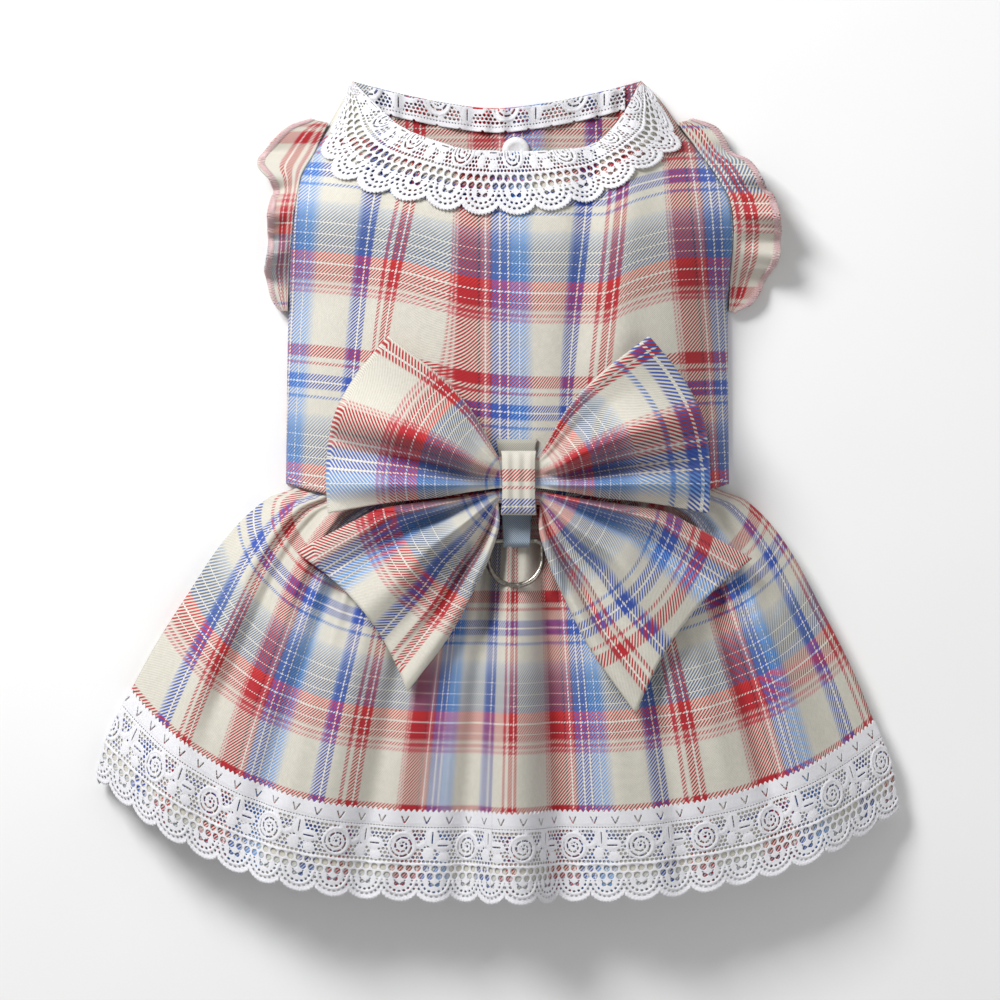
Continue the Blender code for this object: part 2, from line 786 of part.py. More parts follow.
def knot_base():
    """The level of the tab's upper face under the knot, at its highest."""
    steps = (-0.60, -0.40, -0.20, 0.0, 0.20, 0.40, 0.60)
    ground = max(level_z(RING_X, KNOT_Y + KNOT_LENGTH * step) for step in steps)
    return ground + 2.0 * (GAP + WALL)


def tail_root_z():
    """The upper face of the tails where they pass through the knot."""
    return knot_base() + GAP + KNOT_WALL + 3.0 * GAP + WALL


def build_bow_upper():
    root_z = tail_root_z() + 2.0 * GAP + WALL
    return bow_sheet("bow_upper", WING_SHAPE, (WING_REACH, WING_REACH), (WING_RISE, WING_RISE),
                     WING_BULGE, root_z, WING_REST, WING_PUFF, WING_FOLDS, 13, 8)


def build_bow_tails():
    return bow_sheet("bow_tails", TAIL_SHAPE, (TAIL_REACH_LEFT, TAIL_REACH_RIGHT),
                     (-TAIL_DROP_LEFT, -TAIL_DROP_RIGHT), -TAIL_BULGE, tail_root_z(), TAIL_REST,
                     TAIL_PUFF, TAIL_FOLDS, 13, 8)


def build_bow_knot():
    """A band round the middle of the bow, as a closed strip about the X axis."""
    columns = 24
    base = knot_base() + GAP
    grid = []
    for row in range(4):
        share = row / 3.0
        line = []
        for column in range(columns):
            angle = -2.0 * math.pi * column / columns
            cosine = math.cos(angle)
            sine = math.sin(angle)
            y = KNOT_Y + 0.5 * KNOT_LENGTH * math.copysign(abs(cosine) ** 0.7, cosine)
            z = base + 0.5 * KNOT_HEIGHT * (1.0 + math.copysign(abs(sine) ** 0.7, sine))
            x = KNOT_X + KNOT_WIDTH * (share - 0.5)
            line.append((x, y, z))
        grid.append(line)
    return shell("bow_knot", grid, KNOT_WALL, PLAID_RED, closed=True)


def ring_bar_z():
    return level_z(RING_X, RING_BAR_Y) + GAP + WALL + GAP + 0.5 * RING_WIRE


def build_ring_tab():
    """A strap that runs under the knot and folds round the ring's straight bar."""
    middle = 0.5 * WALL
    turn = 0.5 * RING_WIRE + GAP + middle
    bar_z = ring_bar_z()
    rest = GAP + middle
    path = []
    fold_y = RING_BAR_Y + TAB_FOLD
    for step in range(6):
        y = mix(TAB_TOP, fold_y, step / 5.0)
        path.append((y, level_z(RING_X, y) + rest))
    for step in range(9):
        angle = math.radians(270.0 - 22.5 * step)
        path.append((RING_BAR_Y + turn * math.cos(angle), bar_z + turn * math.sin(angle)))
    upper_gap = WALL + GAP
    for step in range(3):
        y = mix(fold_y, TAB_END, step / 2.0)
        path.append((y, level_z(RING_X, y) + rest + upper_gap))
    grid = []
    for y, z in path:
        line = []
        for across in (-0.5, -0.17, 0.17, 0.5):
            line.append((RING_X + TAB_OFFSET + TAB_WIDTH * across, y, z))
        grid.append(line)
    points = np.array(grid)
    normals = grid_normals(points, False)
    outer = points + normals * middle
    return shell("ring_tab", outer, WALL, TAB_GREY, inner=points - normals * middle)


def build_d_ring():
    """The lead ring: a straight bar in the tab and a round bow that lies on the skirt."""
    half = 0.5 * (RING_WIDTH - RING_WIRE)
    straight = RING_DEPTH - RING_WIRE - half
    path = [(-half, 0.0), (-0.5 * half, 0.0), (0.0, 0.0), (0.5 * half, 0.0), (half, 0.0)]
    arc_steps = 12
    for step in range(arc_steps + 1):
        angle = math.pi * step / arc_steps
        path.append((half * math.cos(angle), -straight - half * math.sin(angle)))
    corner = 0.22 * half
    rounded = []
    for x, y in path:
        if y == 0.0 and abs(x) == half:
            rounded.append((math.copysign(half - corner, x), 0.0))
            rounded.append((math.copysign(half - 0.3 * corner, x), -0.3 * corner))
            if x < 0:
                rounded.reverse()
        else:
            rounded.append((x, y))
    far_y = ring_far_y()
    bar_z, far_z = ring_ends_z()
    sides = 8
    grid = []
    count = len(rounded)
    centres = []
    for x, y in rounded:
        share = y / (far_y - RING_BAR_Y)
        centres.append(np.array((RING_X + x, RING_BAR_Y + y, mix(bar_z, far_z, share))))
    for index in range(count):
        ahead = centres[(index + 1) % count] - centres[index - 1]
        ahead = ahead / np.linalg.norm(ahead)
        up = np.array((0.0, 0.0, 1.0))
        out = np.cross(ahead, up)
        out = out / np.linalg.norm(out)
        up = np.cross(out, ahead)
        line = []
        for side in range(sides):
            angle = 2.0 * math.pi * side / sides
            offset = out * math.cos(angle) + up * math.sin(angle)
            line.append(centres[index] + 0.5 * RING_WIRE * offset)
        grid.append(line)
    faces = []
    for index in range(count):
        following = (index + 1) % count
        for side in range(sides):
            other = (side + 1) % sides
            faces.append((following * sides + side, following * sides + other,
                          index * sides + other, index * sides + side))
    vertices = [point for line in grid for point in line]
    return finish_object("d_ring", vertices, faces, NICKEL, 0.3, 1.0)


def build_neck_snap():
    """The round plastic cap of the snap at the neck end of the placket."""
    sides = 20
    radius = 0.5 * SNAP_DIAMETER
    centre_y = BODICE_LENGTH - BELLY_NECK_DROP - SNAP_DROP
    base = BELLY_TOP + WALL + GAP + GAP
    profile = ((1.00, 0.00), (1.00, 0.45), (0.90, 0.80), (0.66, 1.00), (0.50, 0.62))
    vertices = []
    for share, height in profile:
        for side in range(sides):
            angle = 2.0 * math.pi * side / sides
            x = SNAP_X + radius * share * math.cos(angle)
            y = centre_y + radius * share * math.sin(angle)
            vertices.append((x, y, base + SNAP_HEIGHT * height))
    faces = [tuple(reversed(range(sides)))]
    for ring in range(len(profile) - 1):
        for side in range(sides):
            other = (side + 1) % sides
            low = ring * sides
            high = low + sides
            faces.append((low + side, low + other, high + other, high + side))
    last = (len(profile) - 1) * sides
    faces.append(tuple(last + side for side in range(sides)))
    return finish_object("neck_snap", vertices, faces, LACE_WHITE, 0.35)


def main():
    for old in list(bpy.data.objects):
        bpy.data.objects.remove(old, do_unlink=True)
    build_bodice_back()
    build_belly_panel("belly_panel_left", -1)
    build_belly_panel("belly_panel_right", 1)
    build_neck_snap()
    build_skirt()
    build_hem_lace()
    build_neck_lace()
    build_neck_lace_inner()
    build_frill("sleeve_frill_left", -1)
    build_frill("sleeve_frill_right", 1)
    build_bow_tails()
    build_bow_upper()
    build_bow_knot()
    build_ring_tab()
    build_d_ring()


main()
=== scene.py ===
"""Looks of the pet dress: plaid twill cloth, openwork lace, stitching, bow and lead ring.

Lengths are in metres, in the CAD model's frame. Cloth coordinates (UV) are in metres of
cloth times ten, so that one unit is 100 mm of cloth.
"""
import math

import bpy
import numpy as np
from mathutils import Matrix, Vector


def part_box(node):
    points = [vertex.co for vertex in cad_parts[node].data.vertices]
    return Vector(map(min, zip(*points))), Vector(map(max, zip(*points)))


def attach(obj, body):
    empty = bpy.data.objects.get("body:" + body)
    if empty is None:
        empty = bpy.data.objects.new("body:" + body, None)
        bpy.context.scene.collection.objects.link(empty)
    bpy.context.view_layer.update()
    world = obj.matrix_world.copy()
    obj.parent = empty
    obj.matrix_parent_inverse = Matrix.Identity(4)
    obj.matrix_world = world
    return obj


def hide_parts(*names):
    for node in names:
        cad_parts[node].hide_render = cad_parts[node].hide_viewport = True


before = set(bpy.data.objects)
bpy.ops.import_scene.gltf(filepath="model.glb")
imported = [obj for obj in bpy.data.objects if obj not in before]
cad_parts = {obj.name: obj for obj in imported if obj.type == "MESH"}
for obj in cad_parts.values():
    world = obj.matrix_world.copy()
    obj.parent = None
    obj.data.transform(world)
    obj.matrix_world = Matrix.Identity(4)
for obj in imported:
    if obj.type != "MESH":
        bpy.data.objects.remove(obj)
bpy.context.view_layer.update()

# Sizes read from the frame
bodice_low, bodice_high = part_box("bodice_back")
skirt_low, skirt_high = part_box("skirt")
knot_low, knot_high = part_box("bow_knot")
tab_low, tab_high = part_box("ring_tab")
ring_low, ring_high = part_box("d_ring")
snap_low, snap_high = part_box("neck_snap")

MM = 0.001
WALL = 0.0010
GAP = 0.0003
FOLD_CLEAR = 0.0007
PIXEL = 0.000375

BODICE_CENTRE = 0.0040
BODICE_HALF = BODICE_CENTRE - bodice_low.x
BODICE_LENGTH = bodice_high.y
BODICE_HEIGHT = bodice_high.z
NECK_LEFT = -0.0555
NECK_WIDTH = 0.1100
NECK_DROP = 0.0290
BELLY_NECK_DROP = 0.0105
HEM_SIDE = 0.0026
HEM_SAG = 0.0070
ARMHOLE_TOP = 0.1400
ARMHOLE_LENGTH = 0.0720
ARMHOLE_RISE = 0.0150
PLACKET_LEFT_EDGE = -0.0030
PLACKET_WIDTH = 0.0188
PLACKET_STEP = 0.0055
PLACKET_EASE = 0.0090

SKIRT_TUCK = 0.0050
WAIST_HALF = 0.0780
SKIRT_HALF = skirt_high.x
SKIRT_LEFT_LENGTH = 0.1140
SKIRT_RIGHT_LENGTH = 0.1260
SKIRT_BOTTOM = skirt_low.y
SKIRT_HEIGHT = 0.0350
SKIRT_EDGE = 0.0065
SKIRT_FLOOR = WALL + GAP
SEAM_HEIGHT = 2.0 * WALL + GAP + 0.0002
EDGE_POWER = 4.0
HEM_POWER = 3.2

FRILL_REACH = 0.0200
FRILL_END_HEIGHT = 0.0046

KNOT_X = 0.5 * (knot_low.x + knot_high.x)
KNOT_Y = 0.5 * (knot_low.y + knot_high.y)
WING_REACH = 0.0715
WING_RISE = 0.0550
WING_BULGE = 0.0095
WING_PUFF = 0.0090
TAIL_REACH_LEFT = 0.0835
TAIL_REACH_RIGHT = 0.0880
TAIL_DROP_LEFT = 0.0780
TAIL_DROP_RIGHT = 0.0860
TAIL_BULGE = 0.0060
TAIL_PUFF = 0.0075
RING_WIRE = 0.0021

# Plaid repeat and where the bodice's stripes lie
REPEAT = 0.0806
RIB = 0.00140
BODICE_WARP_SHIFT = 0.0173
BODICE_WEFT_START = 0.0975
BELLY_WARP_SHIFT = 0.0120
BELLY_WEFT_START = 0.0855
SKIRT_WARP_SHIFT = 0.0072
SKIRT_WEFT_TOP = 0.0563
UNDER_REPEATS = 2.19
FRILL_WARP_START = 0.0560
FRILL_WARP_RUN = 0.0170
FRILL_WEFT_LEFT = 0.0771
FRILL_WEFT_RIGHT = 0.1325
KNOT_WARP_SHIFT = 0.0300
KNOT_WEFT = 0.06275

HEM_BAND_RISE = 0.00035
HEM_STITCH_LINE = 0.0024
KNOT_WALL = 0.0012
KNOT_CLOTH = 0.0011
LACE_WIDTH = 0.0360
LACE_PROUD = 0.0045
SCALLOP = 0.0131
COLLAR_LACE_START = 0.0130
INNER_LACE_WIDTH = 0.0090
INNER_LACE_EDGE = 0.0140
YARN = 0.00030
YARN_RELIEF = 0.00035
SERGE_PITCH = 0.0011
SERGE_DEPTH = 0.0030
SERGE_LIFT = 0.0002
SERGE_RADIUS = 0.00021
TAB_BEND = 0.0080
TAB_LAP_Y = -0.0060
TAB_END_Y = -0.0005

# Places round the skirt: 0 to 2 over the upper layer, then the right fold, the lower layer
# and the left fold
RIGHT_FOLD = 2.0
LOWER_START = 2.1
LEFT_FOLD = 4.1
RING_END = 4.2
FOLD_SPAN = 0.1

# The photograph's size in pixels, and where the frame's origin lies in it
PHOTO_PIXELS = 1000
ORIGIN_PIXEL_X = 498
ORIGIN_PIXEL_Y = 490
CAMERA_HEIGHT = 1.60
FOCUS_HEIGHT = 0.030
SENSOR = 36.0
WORLD_LIGHT = 0.30
FLOOR_HALF = 3.0
FLOOR_DROP = 0.0002
# Lamps: name, place, watts, width
LAMPS = (
    ("key", (-0.60, 0.75, 0.75), 15.5, 0.45),
    ("fill", (0.90, -0.50, 1.30), 5.0, 1.20),
)

# Lace lines, in mm across the lace from its toothed edge
PICOT_LINE = 0.8
STITCH_LINE = 7.0
SWIRL_LINE = 14.2
SWIRL_TURN = 1.75
COMB_LINES = (22.6, 25.4)
FAN_LINE = 27.0
TIP_LINE = 31.6
# Leaves, in mm: radius, centre along and across, squeeze along and across
LEAVES = (
    (2.3, -1.6, 11.0, 1.0, 0.62),
    (2.2, 2.4, 13.8, 0.62, 1.0),
    (2.0, -3.0, 17.0, 1.0, 0.8),
    (1.8, 3.2, 18.2, 0.8, 1.0),
)

BODICE_SIDE = (
    (0.00, 1.000, 0.990),
    (0.40, 0.990, 0.985),
    (0.52, 0.980, 0.990),
    (0.62, 0.962, 1.000),
    (0.70, 0.945, 0.985),
    (0.76, 0.925, 0.930),
    (0.82, 0.870, 0.860),
    (0.90, 0.800, 0.750),
    (0.95, 0.748, 0.685),
    (1.00, 0.700, 0.594),
)
BODICE_CROWN = (
    (0.00, 0.97),
    (0.30, 1.00),
    (0.60, 0.96),
    (0.80, 0.74),
    (1.00, 0.30),
)
NECK_EDGE = (
    (0.00, 0.00),
    (0.085, 0.35),
    (0.17, 0.65),
    (0.29, 0.86),
    (0.42, 0.99),
    (0.60, 1.00),
    (0.77, 0.96),
    (0.85, 0.86),
    (0.92, 0.58),
    (1.00, 0.00),
)
SKIRT_SIDE = (
    (0.000, 0.00),
    (0.045, 0.00),
    (0.090, 0.17),
    (0.220, 0.38),
    (0.420, 0.58),
    (0.600, 0.745),
    (0.750, 0.86),
    (0.900, 0.965),
    (1.000, 1.00),
)
# Broad skirt folds, as in the CAD: share across at the waist and hem, height, half width
SKIRT_FOLDS = (
    (-0.84, -0.84, 0.070, 0.060),
    (-0.74, -0.74, -0.060, 0.050),
    (-0.52, -0.56, 0.060, 0.090),
    (-0.12, -0.22, -0.100, 0.070),
    (0.03, 0.06, 0.110, 0.080),
    (0.15, 0.22, -0.110, 0.055),
    (0.40, 0.42, 0.070, 0.100),
    (0.62, 0.60, -0.060, 0.070),
    (0.80, 0.80, 0.060, 0.070),
)
# Fine skirt folds: share across at the waist and hem, height in mm, half width,
# share down where it fades in and out
FINE_FOLDS = (
    (-0.88, -0.86, 3.0, 0.034, 0.02, 0.75),
    (-0.79, -0.80, -5.0, 0.026, 0.02, 0.90),
    (-0.70, -0.72, 2.6, 0.030, 0.03, 0.90),
    (-0.58, -0.62, -5.0, 0.030, 0.03, 1.15),
    (-0.44, -0.46, 2.2, 0.034, 0.03, 1.10),
    (-0.30, -0.34, -4.5, 0.034, 0.03, 1.35),
    (-0.06, -0.09, -6.5, 0.034, 0.06, 1.50),
    (0.02, 0.03, 3.4, 0.046, 0.06, 1.50),
    (0.13, 0.15, -7.0, 0.030, 0.06, 1.45),
    (0.28, 0.32, 2.4, 0.034, 0.05, 1.10),
    (0.42, 0.46, -4.8, 0.034, 0.05, 1.30),
    (0.58, 0.60, 2.2, 0.030, 0.03, 1.00),
    (0.69, 0.71, -5.0, 0.028, 0.03, 1.05),
    (0.82, 0.82, 2.6, 0.028, 0.02, 0.80),
    (0.92, 0.91, -2.2, 0.020, 0.02, 0.70),
)
# Skirt warp: share across the skirt, repeats of the plaid counted from the first red band
SKIRT_WARP = (
    (-1.00, -0.70),
    (-0.904, -0.49),
    (-0.714, 0.00),
    (-0.479, 0.51),
    (-0.232, 1.00),
    (-0.040, 1.51),
    (0.160, 2.00),
    (0.417, 2.51),
    (0.706, 3.00),
    (0.926, 3.51),
    (1.00, 3.68),
)
# Bodice warp lean: x, how far a line moves left for each metre down
BODICE_LEAN = (
    (-0.082, 0.05),
    (-0.052, 0.12),
    (-0.036, 0.22),
    (-0.010, 0.00),
    (0.012, 0.00),
    (0.030, 0.11),
    (0.045, 0.10),
    (0.070, -0.10),
    (0.090, -0.05),
)
# Collar lace outer edge, as in the CAD
COLLAR_DROP = 0.0545
COLLAR_EDGE = (
    (0.00, -0.700, 0.000),
    (0.04, -0.748, 0.206),
    (0.085, -0.795, 0.352),
    (0.13, -0.842, 0.508),
    (0.17, -0.798, 0.683),
    (0.22, -0.682, 0.802),
    (0.29, -0.529, 0.873),
    (0.36, -0.376, 0.921),
    (0.43, -0.229, 0.980),
    (0.50, -0.076, 0.997),
    (0.57, 0.076, 0.994),
    (0.64, 0.218, 0.958),
    (0.71, 0.353, 0.903),
    (0.77, 0.459, 0.839),
    (0.83, 0.553, 0.728),
    (0.88, 0.659, 0.628),
    (0.92, 0.776, 0.472),
    (0.955, 0.725, 0.306),
    (0.98, 0.660, 0.150),
    (1.00, 0.594, 0.000),
)
# How far the plaid's cross bands rise above their lowest place: x and rise in metres
BODICE_DIP = (
    (-0.081, 0.0139),
    (-0.037, 0.0082),
    (-0.007, 0.0015),
    (0.016, 0.0),
    (0.038, 0.0),
    (0.053, 0.0056),
    (0.068, 0.0094),
    (0.087, 0.0105),
)
FRILL_OUTLINE = (
    (0.00, 0.35, 0.30),
    (0.07, 0.75, 0.62),
    (0.16, 1.00, 0.66),
    (0.24, 0.92, 0.78),
    (0.31, 0.58, 0.83),
    (0.38, 0.46, 0.84),
    (0.47, 0.50, 0.88),
    (0.58, 0.48, 0.92),
    (0.68, 0.44, 0.90),
    (0.78, 0.48, 0.80),
    (0.87, 0.38, 0.60),
    (0.94, 0.24, 0.38),
    (1.00, 0.12, 0.12),
)
WING_SHAPE = (
    (0.00, 0.105, 0.175, 0.105, -0.035),
    (0.15, 0.147, 0.270, 0.250, -0.060),
    (0.35, 0.245, 0.490, 0.430, -0.100),
    (0.60, 0.390, 0.700, 0.650, -0.130),
    (1.00, 0.680, 1.000, 1.000, -0.205),
)
WING_FOLDS = (
    (0.03, 0.30, 0.05),
    (0.22, -0.30, 0.10),
    (0.48, 1.10, 0.10),
    (0.67, -1.30, 0.08),
    (0.86, 0.80, 0.08),
)
TAIL_SHAPE = (
    (0.00, 0.088, 0.035, 0.090, 0.095),
    (0.15, 0.250, 0.065, 0.085, 0.185),
    (0.35, 0.430, 0.090, 0.125, 0.345),
    (0.55, 0.625, 0.125, 0.200, 0.515),
    (0.75, 0.745, 0.185, 0.285, 0.690),
    (1.00, 1.000, 0.330, 0.495, 1.000),
)
TAIL_FOLDS = (
    (0.08, 0.80, 0.07),
    (0.27, -1.30, 0.08),
    (0.50, 1.10, 0.10),
    (0.72, -0.60, 0.08),
    (0.84, -1.00, 0.045),
    (0.96, 0.50, 0.05),
)


def colour(code):
    """Linear RGB of an sRGB hex code."""
    channels = [int(code[i:i + 2], 16) / 255.0 for i in (0, 2, 4)]
    return tuple(c / 12.92 if c <= 0.04045 else ((c + 0.055) / 1.055) ** 2.4 for c in channels)


def curve(table, column=1):
    """A function that reads a table's column smoothly, with no overshoot."""
    places = np.array([row[0] for row in table])
    values = np.array([row[column] for row in table])
    rises = np.diff(values) / np.diff(places)
    slopes = np.empty(len(places))
    slopes[0] = rises[0]
    slopes[-1] = rises[-1]
    for i in range(1, len(places) - 1):
        before, after = rises[i - 1], rises[i]
        slopes[i] = 0.0 if before * after <= 0.0 else 2.0 * before * after / (before + after)

    def read(place):
        place = np.clip(place, places[0], places[-1])
        index = np.clip(np.searchsorted(places, place, side="right") - 1, 0, len(places) - 2)
        span = places[index + 1] - places[index]
        t = (place - places[index]) / span
        return (values[index] * (2 * t ** 3 - 3 * t ** 2 + 1)
                + values[index + 1] * (3 * t ** 2 - 2 * t ** 3)
                + slopes[index] * span * (t ** 3 - 2 * t ** 2 + t)
                + slopes[index + 1] * span * (t ** 3 - t ** 2))

    return read


def ease(low, high, value):
    t = np.clip((value - low) / (high - low), 0.0, 1.0)
    return t * t * (3.0 - 2.0 * t)


def mix(a, b, share):
    return a + (b - a) * share


def bell(value, centre, width):
    return np.exp(-((value - centre) / width) ** 2)


left_side = curve(BODICE_SIDE, 1)
right_side = curve(BODICE_SIDE, 2)
crown_share = curve(BODICE_CROWN)
neck_share = curve(NECK_EDGE)
skirt_flare = curve(SKIRT_SIDE)
skirt_warp = curve(SKIRT_WARP)
bodice_lean = curve(BODICE_LEAN)
collar_x = curve(COLLAR_EDGE, 1)
collar_drop = curve(COLLAR_EDGE, 2)
bodice_dip = curve(BODICE_DIP)


def bodice_side(y, side):
    share = left_side(y / BODICE_LENGTH) if side < 0 else right_side(y / BODICE_LENGTH)
    return BODICE_CENTRE + side * BODICE_HALF * share


def hem_y(share):
    return HEM_SIDE - HEM_SAG * (1.0 - np.abs(np.clip(share, -1.0, 1.0)) ** EDGE_POWER)


def bodice_edge_height(y):
    share = np.clip((ARMHOLE_TOP - y) / ARMHOLE_LENGTH, 0.0, 1.0)
    return SEAM_HEIGHT + ARMHOLE_RISE * np.sin(math.pi * share) ** 2


def bodice_z(x, y):
    left = BODICE_CENTRE - bodice_side(y, -1)
    right = bodice_side(y, 1) - BODICE_CENTRE
    share = np.where(x < BODICE_CENTRE, (BODICE_CENTRE - x) / left, (x - BODICE_CENTRE) / right)
    share = np.clip(share, 0.0, 1.0)
    crown = BODICE_HEIGHT * crown_share(y / BODICE_LENGTH)
    edge = bodice_edge_height(y)
    return edge + (crown - edge) * (1.0 - share ** EDGE_POWER)


def neck_point(share):
    return NECK_LEFT + NECK_WIDTH * share, BODICE_LENGTH - NECK_DROP * neck_share(share)


def belly_neck_y(x):
    share = np.clip((x - NECK_LEFT) / NECK_WIDTH, 0.0, 1.0)
    return BODICE_LENGTH - BELLY_NECK_DROP * (1.0 - np.abs(2.0 * share - 1.0) ** 1.5)


def bodice_plan(across, down):
    neck_x, neck_y = neck_point(across)
    foot_x = mix(bodice_side(HEM_SIDE, -1), bodice_side(HEM_SIDE, 1), across)
    foot_y = hem_y(2.0 * across - 1.0)
    side_y = mix(BODICE_LENGTH, HEM_SIDE, down)
    side_x = mix(bodice_side(side_y, -1), bodice_side(side_y, 1), across)
    corner_x = mix(NECK_LEFT + NECK_WIDTH * across, foot_x, down)
    return mix(neck_x, foot_x, down) + side_x - corner_x, mix(neck_y, foot_y, down)


def bodice_relief(x, y):
    """Soft folds of the upper panel: dips beside the bow and a long fold under the collar."""
    fold = -2.2 * bell(x, 0.0345 - 0.10 * (0.11 - y), 0.0060) * ease(0.020, 0.060, y)
    fold += 1.6 * bell(x, 0.0500 - 0.08 * (0.11 - y), 0.0070) * ease(0.010, 0.050, y)
    fold -= 1.7 * bell(x, -0.0430 - 0.2 * (0.11 - y), 0.0080) * ease(0.010, 0.050, y)
    fold += 1.2 * bell(x, -0.0150, 0.0110) * ease(0.050, 0.080, y)
    pull = np.sin((x + 0.6 * y) / 0.0085) * 0.35 + np.sin((x - 0.9 * y) / 0.0130) * 0.30
    inside = 1.0 - ease(0.85, 1.0, np.abs((x - BODICE_CENTRE) / BODICE_HALF))
    return (fold + pull) * inside * MM


def skirt_side_x(down, side):
    half = WAIST_HALF + (SKIRT_HALF - WAIST_HALF) * skirt_flare(down)
    return mix(BODICE_CENTRE, 0.0, np.minimum(down, 1.0)) + side * half


def skirt_ends_y(share):
    top = hem_y(share) + SKIRT_TUCK
    length = np.where(share < 0, SKIRT_LEFT_LENGTH, SKIRT_RIGHT_LENGTH)
    side_y = HEM_SIDE + SKIRT_TUCK - length
    return top, side_y + (SKIRT_BOTTOM - side_y) * (1.0 - np.abs(share) ** HEM_POWER)


def skirt_plan(share, down):
    flat = np.minimum(down, 1.0)
    x = mix(skirt_side_x(flat, -1), skirt_side_x(flat, 1), (share + 1.0) / 2.0)
    top, bottom = skirt_ends_y(share)
    return x, mix(top, bottom, down)


def skirt_z(share, down):
    waist = BODICE_HEIGHT * BODICE_CROWN[0][1] - WALL - 2.0 * FOLD_CLEAR
    out = ease(0.06, 0.55, down)
    crown = mix(waist, SKIRT_HEIGHT, out) - 0.10 * SKIRT_HEIGHT * ease(0.6, 1.0, down)
    height = SKIRT_EDGE + (crown - SKIRT_EDGE) * (1.0 - np.abs(share) ** EDGE_POWER)
    for waist_share, hem_share, rise, width in SKIRT_FOLDS:
        place = mix(waist_share, hem_share, down)
        height = height + rise * SKIRT_HEIGHT * out * bell(share, place, width)
    return height


def skirt_relief(share, down):
    """Gathers under the bodice's hem and the finer folds that run down from them."""
    inside = 1.0 - np.abs(share) ** 10
    relief = 0.0 * share
    for waist_share, hem_share, rise, width, start, end in FINE_FOLDS:
        place = mix(waist_share, hem_share, down)
        wide = width * mix(0.75, 1.5, np.clip(down, 0.0, 1.0))
        fade = ease(start, start + 0.10, down) * (1.0 - ease(end - 0.35, end, down))
        relief = relief + rise * bell(share, place, wide) * fade
    phase = share * 92.0 + 1.7 * np.sin(share * 11.0) + 1.1 * np.sin(share * 23.0 + 1.0)
    gathers = np.sin(phase) * 1.15 + np.sin(0.53 * phase + 1.3) * 1.15
    near = ease(0.02, 0.07, down) * (1.0 - ease(0.12, 0.46, down))
    relief = relief + (gathers - 0.5) * near
    ripple = np.sin(share * 31.0 + 2.0 * np.sin(3.0 * down)) * 0.45
    relief = relief + ripple * ease(0.30, 0.90, down)
    return relief * inside * MM


def cover_z(x, y):
    """The top face of the cloth that lies uppermost in plan, without its fine relief."""
    side = np.where(x < BODICE_CENTRE, BODICE_CENTRE - bodice_side(HEM_SIDE, -1),
                    bodice_side(HEM_SIDE, 1) - BODICE_CENTRE)
    share = (x - BODICE_CENTRE) / side
    on_bodice = (np.abs(share) <= 1.0) & (y >= hem_y(share))
    down = np.full(np.shape(x), 0.3)
    for _ in range(12):
        left = skirt_side_x(down, -1)
        right = skirt_side_x(down, 1)
        place = np.clip(2.0 * (x - left) / (right - left) - 1.0, -1.0, 1.0)
        top, bottom = skirt_ends_y(place)
        down = np.clip((top - y) / (top - bottom), 0.0, 1.0)
    return np.where(on_bodice, bodice_z(x, y), skirt_z(place, down))


def level_z(x, y, reach=0.004):
    """The highest cloth near a place, which a piece laid across it clears."""
    x = np.asarray(x, dtype=float)
    y = np.asarray(y, dtype=float)
    steps = (-reach, 0.0, reach)
    return np.max([cover_z(x + dx, y + dy) for dx in steps for dy in steps], axis=0)


def run_length(points):
    """Distance along a line of points, from its first point to each."""
    steps = np.linalg.norm(np.diff(points, axis=0), axis=1)
    return np.concatenate(([0.0], np.cumsum(steps)))


def point_at(where, along, points):
    return np.array([np.interp(where, along, points[:, k]) for k in range(3)])


# Meshes

def grid_normals(points, closed=False):
    if closed:
        across = np.roll(points, -1, axis=1) - np.roll(points, 1, axis=1)
    else:
        across = np.gradient(points, axis=1)
    normals = np.cross(np.gradient(points, axis=0), across)
    return normals / np.maximum(np.linalg.norm(normals, axis=2, keepdims=True), 1e-12)


def link(name, mesh, material, smooth=True):
    piece = bpy.data.objects.new(name, mesh)
    bpy.context.scene.collection.objects.link(piece)
    mesh.materials.append(material)
    if smooth:
        mesh.shade_smooth()
    return piece


def place(piece, slot, *nodes):
    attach(piece, "root")
    if nodes:
        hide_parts(*nodes)
    return piece


